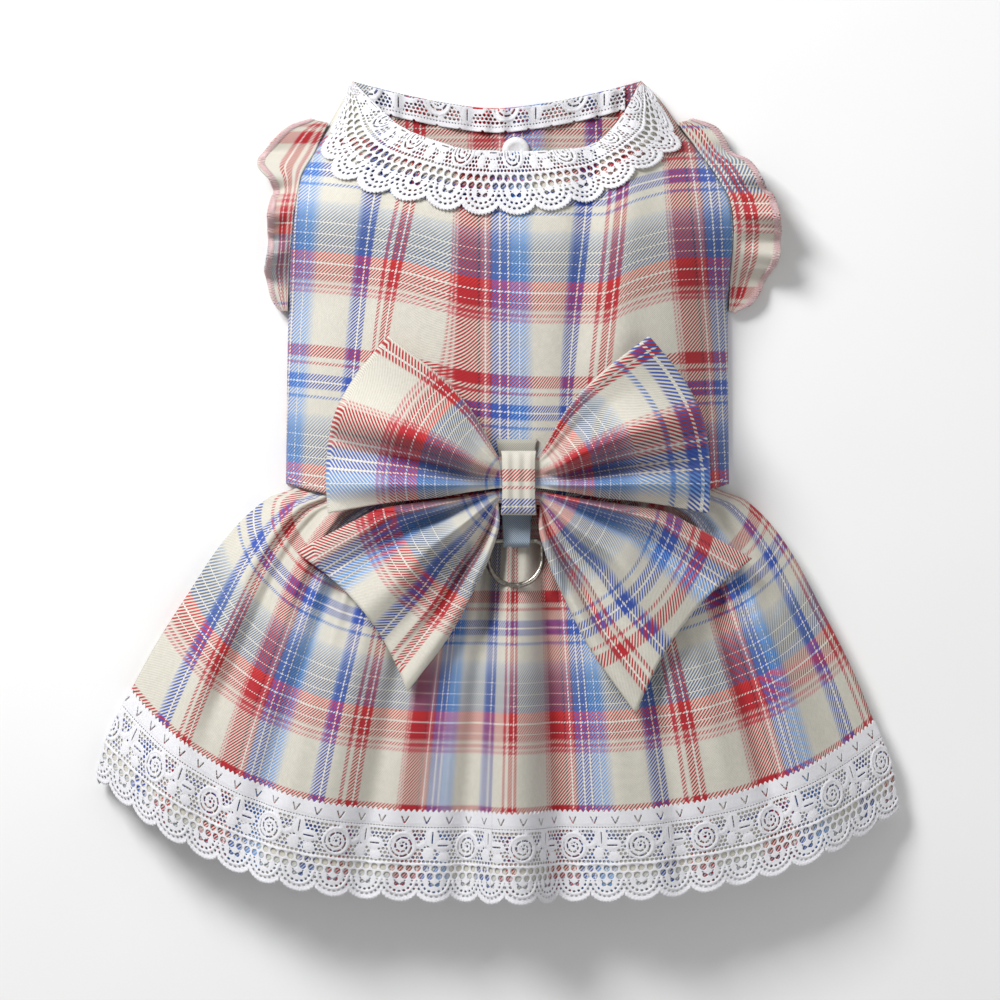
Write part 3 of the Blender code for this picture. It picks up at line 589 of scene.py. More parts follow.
def sheet_mesh(name, outer, inner, uv, material, closed=False):
    """A cloth of two grids of points, joined along their free edges, with cloth UVs."""
    rows, columns = outer.shape[:2]
    spans = columns if closed else columns - 1
    r, c = np.meshgrid(np.arange(rows - 1), np.arange(spans), indexing="ij")
    r = r.ravel()
    c = c.ravel()
    n = (c + 1) % columns
    quads = np.stack((r * columns + c, (r + 1) * columns + c, (r + 1) * columns + n,
                      r * columns + n), axis=1)
    width = uv.shape[1]
    corners = np.stack((r * width + c, (r + 1) * width + c, (r + 1) * width + c + 1,
                        r * width + c + 1), axis=1)
    count = rows * columns
    faces = [quads, quads[:, ::-1] + count]
    corner_sets = [corners, corners[:, ::-1]]

    def join(a, b, uv_a, uv_b, flip):
        quad = np.stack((a, b, b + count, a + count), axis=1)
        corner = np.stack((uv_a, uv_b, uv_b, uv_a), axis=1)
        faces.append(quad[:, ::-1] if flip else quad)
        corner_sets.append(corner[:, ::-1] if flip else corner)

    top = np.arange(spans)
    top_next = (top + 1) % columns
    for row, flip in ((0, False), (rows - 1, True)):
        join(row * columns + top, row * columns + top_next, row * width + top, row * width + top + 1, flip)
    if not closed:
        side = np.arange(rows - 1)
        for column, flip in ((0, True), (columns - 1, False)):
            join(side * columns + column, (side + 1) * columns + column,
                 side * width + column, (side + 1) * width + column, flip)
    faces = np.concatenate(faces)
    corner_sets = np.concatenate(corner_sets)
    vertices = np.concatenate((outer.reshape(-1, 3), inner.reshape(-1, 3)))
    mesh = bpy.data.meshes.new(name)
    mesh.from_pydata(vertices.tolist(), [], faces[:, ::-1].tolist())
    layer = mesh.uv_layers.new(name="cloth")
    flat = (uv.reshape(-1, 2) * 10.0)[corner_sets[:, ::-1].ravel()]
    layer.data.foreach_set("uv", flat.ravel().astype(np.float32))
    return link(name, mesh, material)


def cloth(name, outer, uv, material, closed=False, wall=WALL):
    normals = grid_normals(outer, closed)
    return sheet_mesh(name, outer, outer - normals * wall, uv, material, closed)


def tube(name, path, radius, material, sides=8, closed=False):
    """A round wire along a path of points."""
    path = np.array(path)
    if closed:
        ahead = np.roll(path, -1, axis=0) - np.roll(path, 1, axis=0)
    else:
        ahead = np.gradient(path, axis=0)
    ahead /= np.linalg.norm(ahead, axis=1, keepdims=True)
    up = np.tile(np.array((0.0, 0.0, 1.0)), (len(path), 1))
    out = np.cross(ahead, up)
    out /= np.maximum(np.linalg.norm(out, axis=1, keepdims=True), 1e-9)
    up = np.cross(out, ahead)
    angles = 2.0 * math.pi * np.arange(sides) / sides
    rings = (path[:, None, :] + radius * (np.cos(angles)[None, :, None] * out[:, None, :]
             + np.sin(angles)[None, :, None] * up[:, None, :]))
    vertices = rings.reshape(-1, 3)
    faces = []
    count = len(path)
    for i in range(count if closed else count - 1):
        j = (i + 1) % count
        for k in range(sides):
            m = (k + 1) % sides
            faces.append((j * sides + k, j * sides + m, i * sides + m, i * sides + k))
    if not closed:
        faces.append(tuple(range(sides)))
        faces.append(tuple((count - 1) * sides + k for k in reversed(range(sides))))
    mesh = bpy.data.meshes.new(name)
    mesh.from_pydata(vertices.tolist(), [], faces)
    return link(name, mesh, material)


def threads(name, segments, radius, material, sides=6):
    """Many short rounded stitches, each from one point to another, as one mesh."""
    vertices = []
    faces = []
    for start, end in segments:
        start = np.array(start)
        end = np.array(end)
        ahead = end - start
        length = np.linalg.norm(ahead)
        if length < 1e-6:
            continue
        ahead = ahead / length
        out = np.cross(ahead, (0.0, 0.0, 1.0))
        if np.linalg.norm(out) < 1e-3:
            out = np.cross(ahead, (0.0, 1.0, 0.0))
        out = out / np.linalg.norm(out)
        up = np.cross(out, ahead)
        base = len(vertices)
        for share, fat in ((0.0, 0.35), (0.14, 0.85), (0.5, 1.0), (0.86, 0.85), (1.0, 0.35)):
            for k in range(sides):
                angle = 2.0 * math.pi * k / sides
                offset = math.cos(angle) * out + math.sin(angle) * up
                vertices.append(start + ahead * length * share + radius * fat * offset)
        for ring in range(4):
            for k in range(sides):
                m = (k + 1) % sides
                low = base + ring * sides
                faces.append((low + sides + k, low + sides + m, low + m, low + k))
        faces.append(tuple(base + k for k in range(sides)))
        faces.append(tuple(base + 4 * sides + k for k in reversed(range(sides))))
    mesh = bpy.data.meshes.new(name)
    mesh.from_pydata([tuple(v) for v in vertices], [], faces)
    return link(name, mesh, material)


# Materials

class Shader:
    """Builds a Principled material from short calls."""

    def __init__(self, name, roughness, sheen=0.0):
        self.material = bpy.data.materials.new(name)
        self.material.use_nodes = True
        self.tree = self.material.node_tree
        self.principled = self.tree.nodes["Principled BSDF"]
        self.principled.inputs["Roughness"].default_value = roughness
        self.principled.inputs["Sheen Weight"].default_value = sheen
        self.principled.inputs["Sheen Roughness"].default_value = 0.45

    def node(self, kind, **settings):
        node = self.tree.nodes.new(kind)
        for key, value in settings.items():
            setattr(node, key, value)
        return node

    def feed(self, socket, value):
        if isinstance(value, bpy.types.NodeSocket):
            self.tree.links.new(value, socket)
        else:
            socket.default_value = value

    def math(self, operation, a, b=0.0, c=0.0):
        node = self.node("ShaderNodeMath", operation=operation)
        self.feed(node.inputs[0], a)
        self.feed(node.inputs[1], b)
        self.feed(node.inputs[2], c)
        return node.outputs[0]

    def ramp(self, factor, stops, interpolation="LINEAR"):
        node = self.node("ShaderNodeValToRGB")
        node.color_ramp.interpolation = interpolation
        elements = node.color_ramp.elements
        for index, (position, value) in enumerate(stops):
            element = elements[index] if index < 2 else elements.new(position)
            element.position = position
            element.color = (*value, 1.0)
        self.feed(node.inputs[0], factor)
        return node.outputs[0]

    def blend(self, factor, a, b, mode="MIX"):
        node = self.node("ShaderNodeMix", data_type="RGBA", blend_type=mode)
        self.feed(node.inputs[0], factor)
        for socket, value in ((node.inputs[6], a), (node.inputs[7], b)):
            if isinstance(value, tuple):
                value = (*value, 1.0)
            self.feed(socket, value)
        return node.outputs[2]

    def noise(self, scale, detail=2.0, vector=None):
        node = self.node("ShaderNodeTexNoise")
        node.inputs["Scale"].default_value = scale
        node.inputs["Detail"].default_value = detail
        if vector is not None:
            self.feed(node.inputs["Vector"], vector)
        return node.outputs["Fac"]

    def spread(self, value, low, high, to_low=0.0, to_high=1.0):
        node = self.node("ShaderNodeMapRange", interpolation_type="SMOOTHSTEP")
        self.feed(node.inputs["Value"], value)
        for key, number in (("From Min", low), ("From Max", high), ("To Min", to_low),
                            ("To Max", to_high)):
            node.inputs[key].default_value = number
        return node.outputs["Result"]

    def bump(self, height, distance, strength=1.0):
        node = self.node("ShaderNodeBump")
        node.inputs["Distance"].default_value = distance
        node.inputs["Strength"].default_value = strength
        self.feed(node.inputs["Height"], height)
        self.tree.links.new(node.outputs["Normal"], self.principled.inputs["Normal"])

    def cloth_place(self):
        """Cloth coordinates in metres."""
        uv = self.node("ShaderNodeUVMap", uv_map="cloth")
        split = self.node("ShaderNodeSeparateXYZ")
        self.tree.links.new(uv.outputs[0], split.inputs[0])
        return self.math("MULTIPLY", split.outputs[0], 0.1), self.math("MULTIPLY", split.outputs[1], 0.1)


CREAM = "D9D5C8"
# Plaid charts: millimetres along the repeat, colour there
WARP = (
    (0.0, CREAM), (0.6, "C9545C"), (1.0, CREAM), (1.6, "C0404A"), (2.2, "D9B8B0"), (2.6, "B82834"),
    (3.2, "B01420"), (9.6, "B01420"), (9.9, "5E1428"), (10.5, "5E1428"), (10.8, "C2404C"),
    (14.0, "C8606A"), (14.3, "7A3358"), (14.9, "7A3358"), (15.2, "3C60B8"), (21.4, "3C62BC"),
    (22.6, "5C94DA"), (27.4, "6CA2E0"), (31.0, CREAM), (44.4, CREAM),
    (45.4, "8C9CC8"), (46.8, "3050AC"), (51.6, "2C4CA8"), (52.0, CREAM), (57.0, CREAM),
    (57.3, "B8404C"), (58.5, "B8404C"), (58.8, CREAM), (60.0, CREAM), (60.4, "B01824"),
    (64.8, "B8242E"), (65.2, CREAM),
)
WEFT = (
    (0.0, CREAM), (2.0, "AEB9C6"), (7.0, "72859F"), (14.0, "546A8E"), (19.6, "4A6496"),
    (20.0, "D8322A"), (24.0, "BC1E2A"), (30.0, "B4222E"), (31.5, CREAM), (32.0, "C4505A"),
    (33.0, "C4505A"), (33.5, CREAM), (34.2, "CC7A7E"), (35.0, "CC7A7E"), (35.4, CREAM),
    (54.8, CREAM), (55.2, "B81C28"), (59.4, "B81C28"), (59.8, CREAM), (61.2, CREAM),
    (61.5, "C05058"), (62.3, "C05058"), (62.6, CREAM), (65.8, CREAM), (66.2, "3456B0"),
    (71.4, "2E50AC"), (71.9, CREAM), (74.0, CREAM), (74.3, "6080C0"), (75.1, "6080C0"),
    (75.4, CREAM),
)
WARP_PINS = ((12.0, 0.7), (17.4, 0.6), (20.6, 0.6), (25.0, 0.5), (49.0, 0.7), (62.6, 0.6))
WEFT_PINS = ((8.2, 0.5), (12.6, 0.5), (16.8, 0.5), (23.4, 0.6), (27.4, 0.6), (68.6, 0.5))


def chart_stops(chart):
    return [(place / (REPEAT / MM), colour(code)) for place, code in chart]


def pin_stops(pins):
    stops = [(0.0, (0.0, 0.0, 0.0))]
    for start, width in pins:
        stops.append((start / (REPEAT / MM), (1.0, 1.0, 1.0)))
        stops.append(((start + width) / (REPEAT / MM), (0.0, 0.0, 0.0)))
    return stops


def plaid_material():
    """Yarn-dyed plaid in a twill: warp and weft colours show on alternate diagonal ribs."""
    s = Shader("plaid_twill", 0.82, 0.25)
    u, w = s.cloth_place()
    wobble = s.math("MULTIPLY", s.math("SUBTRACT", s.noise(900.0, 1.0), 0.5), 0.00022)
    u_soft = s.math("ADD", u, wobble)
    w_soft = s.math("ADD", w, wobble)
    warp_place = s.math("FRACT", s.math("DIVIDE", u_soft, REPEAT))
    weft_place = s.math("FRACT", s.math("DIVIDE", w_soft, REPEAT))
    warp = s.ramp(warp_place, chart_stops(WARP))
    weft = s.ramp(weft_place, chart_stops(WEFT))
    white = colour("E6E3DD")
    warp = s.blend(s.ramp(warp_place, pin_stops(WARP_PINS), "CONSTANT"), warp, white)
    weft = s.blend(s.ramp(weft_place, pin_stops(WEFT_PINS), "CONSTANT"), weft, white)
    diagonal = s.math("DIVIDE", s.math("ADD", u_soft, w_soft), RIB)
    rib = s.math("PINGPONG", diagonal, 0.5)
    rib = s.math("MULTIPLY", rib, 2.0)
    weft_share = s.spread(rib, 0.38, 0.66)
    woven = s.blend(weft_share, warp, weft)
    # Painted shade: the base colour is darkened in the twill's grooves and along the lines between threads,
    # and the same values also drive the bump
    groove = s.spread(s.math("ABSOLUTE", s.math("SUBTRACT", rib, 0.52)), 0.0, 0.34, 0.74, 1.03)
    shade = s.math("MULTIPLY", groove, s.spread(s.noise(70.0, 3.0), 0.2, 0.8, 0.95, 1.04))
    thread = s.math("PINGPONG", s.math("DIVIDE", s.math("SUBTRACT", u_soft, w_soft), 0.00055), 0.5)
    shade = s.math("MULTIPLY", shade, s.spread(thread, 0.0, 0.30, 0.93, 1.02))
    tone = s.node("ShaderNodeCombineColor")
    for index in range(3):
        s.feed(tone.inputs[index], shade)
    s.tree.links.new(s.blend(1.0, woven, tone.outputs[0], "MULTIPLY"),
                     s.principled.inputs["Base Color"])
    relief = s.math("ADD", s.math("MULTIPLY", groove, 1.0), s.math("MULTIPLY", thread, 0.5))
    s.bump(relief, 0.00030, 0.55)
    return s.material


def lace_material():
    """White embroidery yarn: satin stitches painted with light and dark bands where they catch the light, a
    painted sheen, and a little blue in their painted shade.
    """
    s = Shader("lace_yarn", 0.62, 0.35)
    u, w = s.cloth_place()
    stitch = s.math("SINE", s.math("ADD", s.math("DIVIDE", s.math("ADD", u, w), 0.00011),
                                   s.math("MULTIPLY", s.noise(400.0, 1.0), 9.0)))
    fibre = s.noise(2600.0, 2.0)
    # Painted sheen and shade: the stitch bands lighten and darken the base colour, and the fibre noise adds
    # random tone
    tone = s.math("ADD", s.math("MULTIPLY", stitch, 0.12), fibre)
    s.tree.links.new(s.ramp(tone, ((0.20, colour("DCDDE6")), (0.75, colour("FBFAFB")))),
                     s.principled.inputs["Base Color"])
    s.bump(tone, 0.00022, 0.6)
    return s.material


def thread_material(name, code, roughness=0.55):
    """Twisted sewing thread."""
    s = Shader(name, roughness, 0.2)
    where = s.node("ShaderNodeNewGeometry").outputs["Position"]
    twist = s.noise(1500.0, 2.0, where)
    dark = tuple(0.80 * c for c in colour(code))
    s.tree.links.new(s.ramp(twist, ((0.3, dark), (0.65, colour(code)))),
                     s.principled.inputs["Base Color"])
    s.bump(twist, 0.00012, 0.5)
    return s.material


def strap_material():
    """Grey-blue twill strap, paler where it lies in the light above the knot."""
    s = Shader("strap_twill", 0.8, 0.2)
    u, w = s.cloth_place()
    diagonal = s.math("DIVIDE", s.math("ADD", u, w), 0.00085)
    rib = s.math("MULTIPLY", s.math("PINGPONG", diagonal, 0.5), 2.0)
    tone = s.math("ADD", s.math("MULTIPLY", rib, 0.7), s.math("MULTIPLY", s.noise(900.0), 0.5))
    # Painted shade: the rib grooves are darker in the base colour, on the grey-blue and on the beige part
    # alike
    ribs = s.ramp(tone, ((0.25, colour("5E7086")), (0.60, colour("8798AA")), (0.9, colour("B2BCC4"))))
    beige = s.ramp(tone, ((0.25, colour("A09E94")), (0.8, colour("C9C6BA"))))
    s.tree.links.new(s.blend(s.spread(w, 0.0215, 0.0235), beige, ribs),
                     s.principled.inputs["Base Color"])
    s.bump(rib, 0.0003, 0.6)
    return s.material


def nickel_material():
    """Polished nickel wire with faint drawing marks and dull spots."""
    s = Shader("nickel_wire", 0.22)
    s.principled.inputs["Metallic"].default_value = 1.0
    where = s.node("ShaderNodeNewGeometry").outputs["Position"]
    marks = s.noise(700.0, 3.0, where)
    s.tree.links.new(s.ramp(marks, ((0.3, colour("8C877E")), (0.7, colour("BDB8AE")))),
                     s.principled.inputs["Base Color"])
    s.tree.links.new(s.spread(marks, 0.3, 0.8, 0.16, 0.34), s.principled.inputs["Roughness"])
    s.bump(marks, 0.00004, 0.4)
    return s.material


def snap_material():
    """Moulded white plastic with a soft grain."""
    s = Shader("snap_plastic", 0.36)
    where = s.node("ShaderNodeNewGeometry").outputs["Position"]
    grain = s.noise(1400.0, 2.0, where)
    s.tree.links.new(s.ramp(grain, ((0.3, colour("E4E4E6")), (0.7, colour("F6F6F7")))),
                     s.principled.inputs["Base Color"])
    s.bump(grain, 0.00003, 0.4)
    return s.material


plaid = plaid_material()
lace = lace_material()
white_thread = thread_material("white_thread", "F4F3F0")
rose_thread = thread_material("rose_thread", "E3C2C4")
strap = strap_material()
nickel = nickel_material()
snap = snap_material()


# Cloth pieces

def bodice_uv(x, y):
    lean = bodice_lean(x)
    warp = x + BODICE_WARP_SHIFT + lean * (BODICE_WEFT_START - y)
    return np.stack((warp, BODICE_WEFT_START - y + bodice_dip(x)), axis=-1)


def build_bodice():
    across, down = np.meshgrid(np.linspace(0, 1, 140), np.linspace(0, 1, 120))
    x, y = bodice_plan(across, down)
    z = bodice_z(x, y) + bodice_relief(x, y)
    from_hem = y - hem_y(2.0 * across - 1.0)
    band = ease(0.0001, 0.0007, from_hem) - ease(HEM_STITCH_LINE, 0.0034, from_hem)
    outer = np.stack((x, y, z + HEM_BAND_RISE * band), axis=-1)
    piece = cloth("bodice_back_cloth", outer, bodice_uv(x, y), plaid)
    place(piece, "plaid_cotton", "bodice_back")


def stitch_row(name, points, normals, length, gap, radius, material):
    """Running stitches along a line of surface points."""
    points = np.array(points)
    along = run_length(points)
    segments = []
    start = 0.0
    while start + length < along[-1]:
        ends = []
        for at in (start, start + length):
            ends.append(point_at(at, along, points) + point_at(at, along, normals) * 0.4 * radius)
        segments.append(ends)
        start += length + gap
    return threads(name, segments, radius, material)


def surface_line(x, y, height):
    """Points and rough normals along a plan line over a height function."""
    z = height(x, y)
    step = 0.0004
    slope_x = (height(x + step, y) - z) / step
    slope_y = (height(x, y + step) - z) / step
    normals = np.stack((-slope_x, -slope_y, np.ones_like(x)), axis=-1)
    normals /= np.linalg.norm(normals, axis=1, keepdims=True)
    return np.stack((x, y, z), axis=-1), normals


def build_bodice_stitches():
    across = np.linspace(0.006, 0.994, 240)
    share = 2.0 * across - 1.0
    x = mix(bodice_side(HEM_SIDE, -1), bodice_side(HEM_SIDE, 1), across)
    y = hem_y(share) + HEM_STITCH_LINE
    points, normals = surface_line(x, y, lambda a, b: bodice_z(a, b) + bodice_relief(a, b) + 0.0003)
    row = stitch_row("bodice_hem_stitches", points, normals, 0.0024, 0.0008, 0.00022, white_thread)
    place(row, "white_lace")


def belly_panel(name, side, node):
    placket_right = PLACKET_LEFT_EDGE + PLACKET_WIDTH
    across, down = np.meshgrid(np.linspace(0, 1, 44), np.linspace(0, 1, 56))
    side_y = mix(BODICE_LENGTH, HEM_SIDE, down)
    edge = bodice_side(side_y, side)
    if side < 0:
        x = mix(edge, placket_right, across)
    else:
        x = mix(PLACKET_LEFT_EDGE, edge, across)
    y = mix(belly_neck_y(x), hem_y((x - BODICE_CENTRE) / BODICE_HALF), down)
    lift = np.zeros_like(x)
    if side > 0:
        lift = (WALL + GAP) * (1.0 - ease(placket_right + 0.0008, placket_right + PLACKET_STEP, x))
    outer = np.stack((x, y, WALL + lift), axis=-1)
    inner = outer - np.array((0.0, 0.0, WALL))
    uv = np.stack((x + BELLY_WARP_SHIFT, BELLY_WEFT_START - y), axis=-1)
    piece = place(sheet_mesh(name, outer, inner, uv, plaid), "plaid_cotton", node)


def ring_places(upper, side, lower):
    return np.concatenate((np.linspace(0.0, RIGHT_FOLD, upper, endpoint=False),
                           np.linspace(RIGHT_FOLD, LOWER_START, side, endpoint=False),
                           np.linspace(LOWER_START, LEFT_FOLD, lower, endpoint=False),
                           np.linspace(LEFT_FOLD, RING_END, side, endpoint=False)))


LOWER_INSET = 0.968


def skirt_surface(ring, down, floor):
    """Outer face of the skirt at ring coordinates, with its lower layer at a floor height."""
    ring = np.mod(ring, RING_END)
    on_right = (ring >= RIGHT_FOLD) & (ring < LOWER_START)
    on_lower = (ring >= LOWER_START) & (ring < LEFT_FOLD)
    on_left = ring >= LEFT_FOLD
    turn = np.where(on_left, 1.0 - (ring - LEFT_FOLD) / FOLD_SPAN, 0.0)
    turn = np.where(on_right, (ring - RIGHT_FOLD) / FOLD_SPAN, turn)
    share = np.clip(ring - 1.0, -1.0, 1.0)
    share = np.where(on_lower, LOWER_INSET * (1.0 - (ring - LOWER_START)), share)
    share = np.where(on_right, mix(1.0, LOWER_INSET, turn), share)
    share = np.where(on_left, -mix(1.0, LOWER_INSET, turn), share)
    x, y = skirt_plan(share, down)
    top = skirt_z(np.clip(share, -1, 1), down) + skirt_relief(share, down)
    fold_top = skirt_z(np.sign(share), down)
    z = np.where(on_lower, floor, top)
    folded = on_right | on_left
    round_z = mix(fold_top, floor, 0.5 - 0.5 * np.cos(math.pi * turn))
    z = np.where(folded, round_z, z)
    bulge = np.where(folded, 0.0016 * np.sin(math.pi * turn), 0.0)
    x = x + np.sign(share) * bulge
    over = (WALL + GAP) * placket_cover(x) * (1.0 - ease(0.12, 0.22, down))
    z = z + np.where(on_lower, over, 0.0)
    return np.stack((x, y, z), axis=-1)


def placket_cover(x):
    middle = PLACKET_LEFT_EDGE + 0.5 * PLACKET_WIDTH
    away = np.abs(x - middle) - 0.5 * PLACKET_WIDTH
    return 1.0 - ease(PLACKET_EASE, 2.0 * PLACKET_EASE, away)


def skirt_length(share):
    top, bottom = skirt_ends_y(share)
    return top - bottom


def build_skirt():
    ring = ring_places(300, 10, 64)
    downs = np.concatenate((np.linspace(0.0, 0.16, 20, endpoint=False), np.linspace(0.16, 1.0, 62)))
    rings, down = np.meshgrid(ring, downs)
    outer = skirt_surface(rings, down, SKIRT_FLOOR)
    rings, down = np.meshgrid(np.append(ring, RING_END), downs)
    upper = rings < RIGHT_FOLD
    share = np.where(rings < LOWER_START, 1.0, np.clip(LOWER_START + 1.0 - rings, -1.0, 1.0))
    share = np.where(upper, rings - 1.0, share)
    under = skirt_warp(np.array(1.0)) + (rings - RIGHT_FOLD) * UNDER_REPEATS
    repeats = np.where(upper, skirt_warp(share), under)
    warp = REPEAT * repeats + SKIRT_WARP_SHIFT
    above = (1.0 - down) * skirt_length(share) - (LACE_WIDTH - LACE_PROUD)
    uv = np.stack((warp, SKIRT_WEFT_TOP - above), axis=-1)
    piece = place(cloth("skirt_cloth", outer, uv, plaid, closed=True), "plaid_cotton", "skirt")


# Lace

def segment_distance(u, v, a, b):
    length = (b[0] - a[0]) ** 2 + (b[1] - a[1]) ** 2
    t = np.clip(((u - a[0]) * (b[0] - a[0]) + (v - a[1]) * (b[1] - a[1])) / length, 0.0, 1.0)
    return np.hypot(u - a[0] - t * (b[0] - a[0]), v - a[1] - t * (b[1] - a[1]))


def wrap(u, period):
    return u - period * np.floor(u / period + 0.5)


def dots(u, v, pitch_u, pitch_v, radius, shift=0.5):
    """Holes in staggered rows; positive inside a hole."""
    row = np.floor(v / pitch_v + 0.5)
    uu = wrap(u - row * shift * pitch_u, pitch_u)
    return radius - np.hypot(uu, v - row * pitch_v)


def fan_slots(fan_r, fan_t, radius, half, count):
    """Slots along an arc, with narrow bars of yarn between them."""
    return np.minimum(half - np.abs(fan_r - radius), 0.42 - np.abs(np.sin(fan_t * count)) * fan_r / count)


def lace_field(u, v, scallop):
    """Yarn (positive) and holes (negative) of the lace in mm, and how thick the yarn is.

    v is 0 at the picot edge over the cloth and 36 at the scallops' tips.
    """
    picots = v - (PICOT_LINE + 0.55 * np.cos(2.0 * math.pi * u / (scallop / 6.0)))
    arc = np.cos(math.pi * wrap(u, scallop) / scallop)
    tips = TIP_LINE + 3.6 * np.sqrt(np.maximum(arc, 0.0))
    tips = tips + 0.35 * np.cos(2.0 * math.pi * u / (scallop / 11.0))
    body = np.minimum(picots, tips - v)
    # Braid with small notches
    half_repeat = wrap(u, scallop * 0.6667)
    notch = np.minimum(segment_distance(half_repeat, v, (-1.3, 3.1), (-0.1, 5.5)),
                       segment_distance(half_repeat, v, (1.3, 3.1), (0.1, 5.5)))
    stitches = 0.30 - np.hypot(wrap(u, 1.19) * 0.8, v - STITCH_LINE)
    holes = np.maximum(0.27 - notch, stitches)
    # Scroll zone: a fine net, with scrolls and leaves laid on it
    net = np.minimum(dots(u, v - 8.6, 1.64, 1.42, 0.62), np.minimum(v - 7.9, 20.6 - v))
    twin = 2.0 * scallop
    a = wrap(u, twin)
    b = wrap(u - scallop, twin)
    swirl_r = np.hypot(a, v - SWIRL_LINE)
    swirl_t = np.arctan2(v - SWIRL_LINE, a)
    swirl = 5.4 - swirl_r
    tail = 1.0 - np.abs(np.hypot(a - 5.6, v - 9.8) - 4.4)
    tail = np.minimum(tail, np.minimum(v - 7.6, 9.5 - a))
    leaf = np.max([radius - np.hypot((b - centre_u) * squeeze_u, (v - centre_v) * squeeze_v)
                   for radius, centre_u, centre_v, squeeze_u, squeeze_v in LEAVES], axis=0)
    motif = np.maximum(np.maximum(swirl, tail), leaf)
    net = np.minimum(net, -motif)
    spiral = wrap(swirl_r - SWIRL_TURN * swirl_t / (2.0 * math.pi), SWIRL_TURN)
    bridges = np.abs(np.sin(swirl_t * 3.5)) * swirl_r / 3.5 - 0.20
    slots = np.minimum(0.36 - np.abs(spiral), bridges)
    slots = np.minimum(slots, np.minimum(4.4 - swirl_r, swirl_r - 0.9))
    eye = 0.55 - np.hypot(a, v - SWIRL_LINE)
    veins = 0.26 - segment_distance(b, v, (-1.6, 8.8), (-1.6, 13.0))
    veins = np.maximum(veins, 0.26 - segment_distance(b, v, (0.6, 13.8), (4.4, 13.8)))
    holes = np.maximum(holes, np.maximum(net, np.maximum(slots, np.maximum(eye, veins))))
    # Honeycomb rows
    pitch = scallop / 4.0
    comb = np.maximum(1.25 - np.hypot(wrap(u, pitch), v - COMB_LINES[0]),
                      1.25 - np.hypot(wrap(u - 0.5 * pitch, pitch), v - COMB_LINES[1]))
    holes = np.maximum(holes, comb)
    # Scallops: an eyelet flower, an arc of slots and a corded rim
    s = wrap(u, scallop)
    fan_r = np.hypot(s * 0.92, v - FAN_LINE)
    fan_t = np.arctan2(v - FAN_LINE, s * 0.92)
    below = v - 26.9
    flower = np.minimum(0.75 - np.hypot(fan_r - 2.0, np.sin(fan_t * 2.5 + 0.8) * fan_r * 0.4), below)
    outer_fan = np.minimum(fan_slots(fan_r, fan_t, 6.1, 0.40, 11.0), tips - v - 0.9)
    fans = np.minimum(np.maximum(fan_slots(fan_r, fan_t, 4.35, 0.42, 8.0), outer_fan), below)
    holes = np.maximum(holes, np.maximum(flower, fans))
    field = np.minimum(body, -holes)
    cords = 0.55 - np.abs(v - 21.1 - 0.25 * np.sin(2 * math.pi * u / scallop))
    cords = np.maximum(cords, 0.5 - np.abs(swirl_r - 4.9))
    cords = np.maximum(cords, np.minimum(0.5 - np.abs(fan_r - 5.25), below))
    cords = np.maximum(cords, np.minimum(0.5 - np.abs(tips - v - 0.5), below))
    thick = 0.45 * ease(0.0, 0.9, motif) + ease(-0.1, 0.4, cords) + 0.35 * ease(0.0, 0.5, 6.2 - v)
    return field, np.clip(thick, 0.0, 1.0)


def contour_mesh(name, field, outer, inner, uv, material):
    """The part of a grid where the field is positive, with smooth cut edges and a wall."""
    rows, columns = field.shape
    inside = field > 0.0
    corners = [(0, 0), (1, 0), (1, 1), (0, 1)]
    points = []
    index_of = {}

    def vertex(key, first, second=None):
        found = index_of.get(key)
        if found is not None:
            return found
        if second is None:
            points.append((outer[first], inner[first], uv[first]))
        else:
            t = field[first] / (field[first] - field[second])
            t = min(max(t, 0.08), 0.92)
            points.append((mix(outer[first], outer[second], t), mix(inner[first], inner[second], t),
                           mix(uv[first], uv[second], t)))
        index_of[key] = len(points) - 1
        return len(points) - 1

    faces = []
    counts = (inside[:-1, :-1].astype(int) + inside[1:, :-1] + inside[1:, 1:] + inside[:-1, 1:])
    for r, c in zip(*np.nonzero(counts)):
        cell = [(r + dr, c + dc) for dr, dc in corners]
        if counts[r, c] == 4:
            faces.append(tuple(vertex(k, k) for k in cell))
            continue
        face = []
        for i in range(4):
            here = cell[i]
            there = cell[(i + 1) % 4]
            if inside[here]:
                face.append(vertex(here, here))
            if inside[here] != inside[there]:
                key = (here, there) if here < there else (there, here)
                first, second = key
                face.append(vertex(key, first, second))
        if len(face) >= 3:
            faces.append(tuple(face))
    count = len(points)
    edges = set()
    for face in faces:
        for i, start in enumerate(face):
            edges.add((start, face[(i + 1) % len(face)]))
    all_faces = [face[::-1] for face in faces]
    all_faces += [tuple(v + count for v in face) for face in faces]
    for start, end in sorted(edges):
        if (end, start) not in edges:
            all_faces.append((start, end, end + count, start + count))
    vertices = [p[0] for p in points] + [p[1] for p in points]
    mesh = bpy.data.meshes.new(name)
    mesh.from_pydata([tuple(v) for v in vertices], [], all_faces)
    layer = mesh.uv_layers.new(name="cloth")
    loops = np.empty(len(mesh.loops), dtype=np.int32)
    mesh.loops.foreach_get("vertex_index", loops)
    flat = np.array([p[2] for p in points])[loops % count] * 10.0
    layer.data.foreach_set("uv", flat.ravel().astype(np.float32))
    mesh.flip_normals()
    return link(name, mesh, material)


def lace_grid(start, end, low, high, cell):
    """Places along and across a lace, about one cell apart."""
    columns = int(round((end - start) / cell)) + 1
    rows = int(round((high - low) / cell)) + 1
    return np.meshgrid(np.linspace(start, end, columns), np.linspace(low, high, rows))


def lace_band(name, u, v, base, normals, offset, scallop):
    """Lace laid over a base surface; u and v are in metres along and across the lace."""
    field, thick = lace_field(u / MM, v / MM, scallop / MM)
    lift = offset + YARN + YARN_RELIEF * thick
    outer = base + normals * lift[..., None]
    inner = base + normals * offset
    uv = np.stack((u, v), axis=-1)
    return contour_mesh(name, field, outer, inner, uv, lace)


